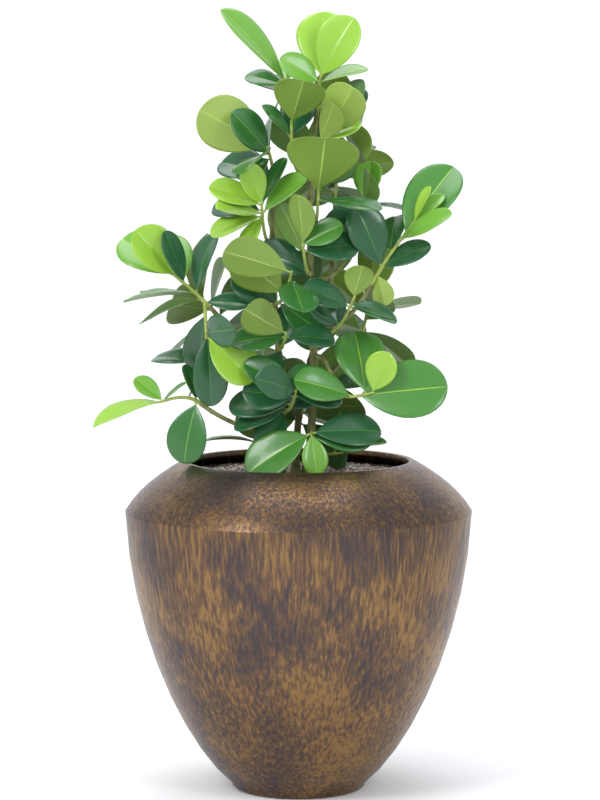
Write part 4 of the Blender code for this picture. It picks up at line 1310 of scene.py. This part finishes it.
def leaf_points(leaf, phase, wave, curl, sign):
    """The points of a leaf's upper face, where sign is 1, or of its underside, where -1."""
    fold = leaf["fold"]
    points = []
    for share in LEAF_SHARES:
        point, side, up = leaf_frame(leaf, share)
        half = half_width(share) * leaf["length"] * leaf["breadth"]
        stalk = max(1 - share / STALK_REACH, 0.0) * STALK_EXTRA
        for v in LEAF_ACROSS:
            bent = hypot(v, FOLD_ROUNDING) - FOLD_ROUNDING
            waving = sin(share * WAVE_ANGLE + phase + (OTHER_HALF_PHASE if v > 0 else 0.0))
            rise = half * (sin(fold) * bent - curl * v ** 4)
            rise += wave * abs(v) ** 1.5 * waving * share
            thick = LEAF_EDGE_THICKNESS + (LEAF_THICKNESS - LEAF_EDGE_THICKNESS) * (1 - v ** 4)
            if abs(v) < MIDRIB_HALF:
                thick *= RIB_SUNK if sign > 0 else 1.0 + RIB_PROUD * (1 - share)
            rise += sign * (thick / 2 + stalk * (1 - v * v))
            points.append(point + side * half * cos(fold) * v + up * rise)
    tip, _, up = leaf_frame(leaf, 1.0)
    points.append(tip + up * sign * LEAF_EDGE_THICKNESS / 2)
    return points


# %% Faces of a leaf
STALK_END = 0.06


def leaf_grid(start, sign, tone, rib_tone):
    """Faces and slots of one side of a leaf, whose points begin at this number."""
    faces, slots = [], []
    for i in range(ROWS - 1):
        for k in range(COLUMNS - 1):
            a = start + i * COLUMNS + k
            faces.append((a, a + COLUMNS, a + COLUMNS + 1, a + 1)[::sign])
            if LEAF_SHARES[i] < STALK_END:
                slots.append(STALK_SLOT)
            else:
                slots.append(rib_tone if k == COLUMNS // 2 - 1 else tone)
    last = start + (ROWS - 1) * COLUMNS
    tip = last + COLUMNS
    for k in range(COLUMNS - 1):
        faces.append((last + k, tip, last + k + 1)[::sign])
        slots.append(tone)
    return faces, slots


def leaf_rim(count, tone):
    """Faces and slots that close a leaf's two sides, round its edge and at its root."""
    edge = [i * COLUMNS for i in range(ROWS)] + [count - 1]
    edge += [i * COLUMNS + COLUMNS - 1 for i in range(ROWS - 1, -1, -1)]
    faces = [(b, a, a + count, b + count) for a, b in zip(edge, edge[1:])]
    slots = [tone] * len(faces)
    faces += [(k, k + 1, k + 1 + count, k + count) for k in range(COLUMNS - 1)]
    return faces, slots + [STALK_SLOT] * (COLUMNS - 1)


# %% The leaves
# Pairs are the least and the most that chance gives a leaf
TONE_STEPS = 4.4
TONE_SPREAD = (0.0, 0.8)
LEAF_WAVE = (0.006, 0.018)
LEAF_CURL = (0.02, 0.14)


def fine_leaf(leaf, chance):
    """Points, faces and slots of one thick leaf with a midrib, a curl and a slight wave."""
    tone = min(int(leaf["age"] * TONE_STEPS + chance.uniform(*TONE_SPREAD)), len(UPPER_TONES) - 1)
    phase = chance.uniform(0, FULL_TURN)
    wave = chance.uniform(*LEAF_WAVE) * leaf["length"]
    curl = chance.uniform(*LEAF_CURL)
    points = leaf_points(leaf, phase, wave, curl, 1)
    count = len(points)
    points += leaf_points(leaf, phase, wave, curl, -1)
    under = len(UPPER_TONES)
    rib_tone = max(tone - 2, 0)
    faces, slots = leaf_grid(0, 1, tone, rib_tone)
    for more, more_slots in (
        leaf_grid(count, -1, under + tone, under + rib_tone),
        leaf_rim(count, under + tone),
    ):
        faces += more
        slots += more_slots
    return points, faces, slots


leaf_chance = random.Random(29)
foliage = joined("leaves", [fine_leaf(leaf, leaf_chance) for leaf in all_leaves], leaf_materials)
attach(foliage, "root")
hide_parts(*plan)
print("leaf faces", len(foliage.data.polygons))

# %% [markdown]
# ## The finished size
#
# Both boxes, round the solids and round the dressed plant, are shown at the end. The
# dressed plant must fill the same box as the solids.

# %% Boxes and finish
dressed_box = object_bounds()
[[list(corner) for corner in box] for box in (cad_box, dressed_box)]
print("dressed box", dressed_box)
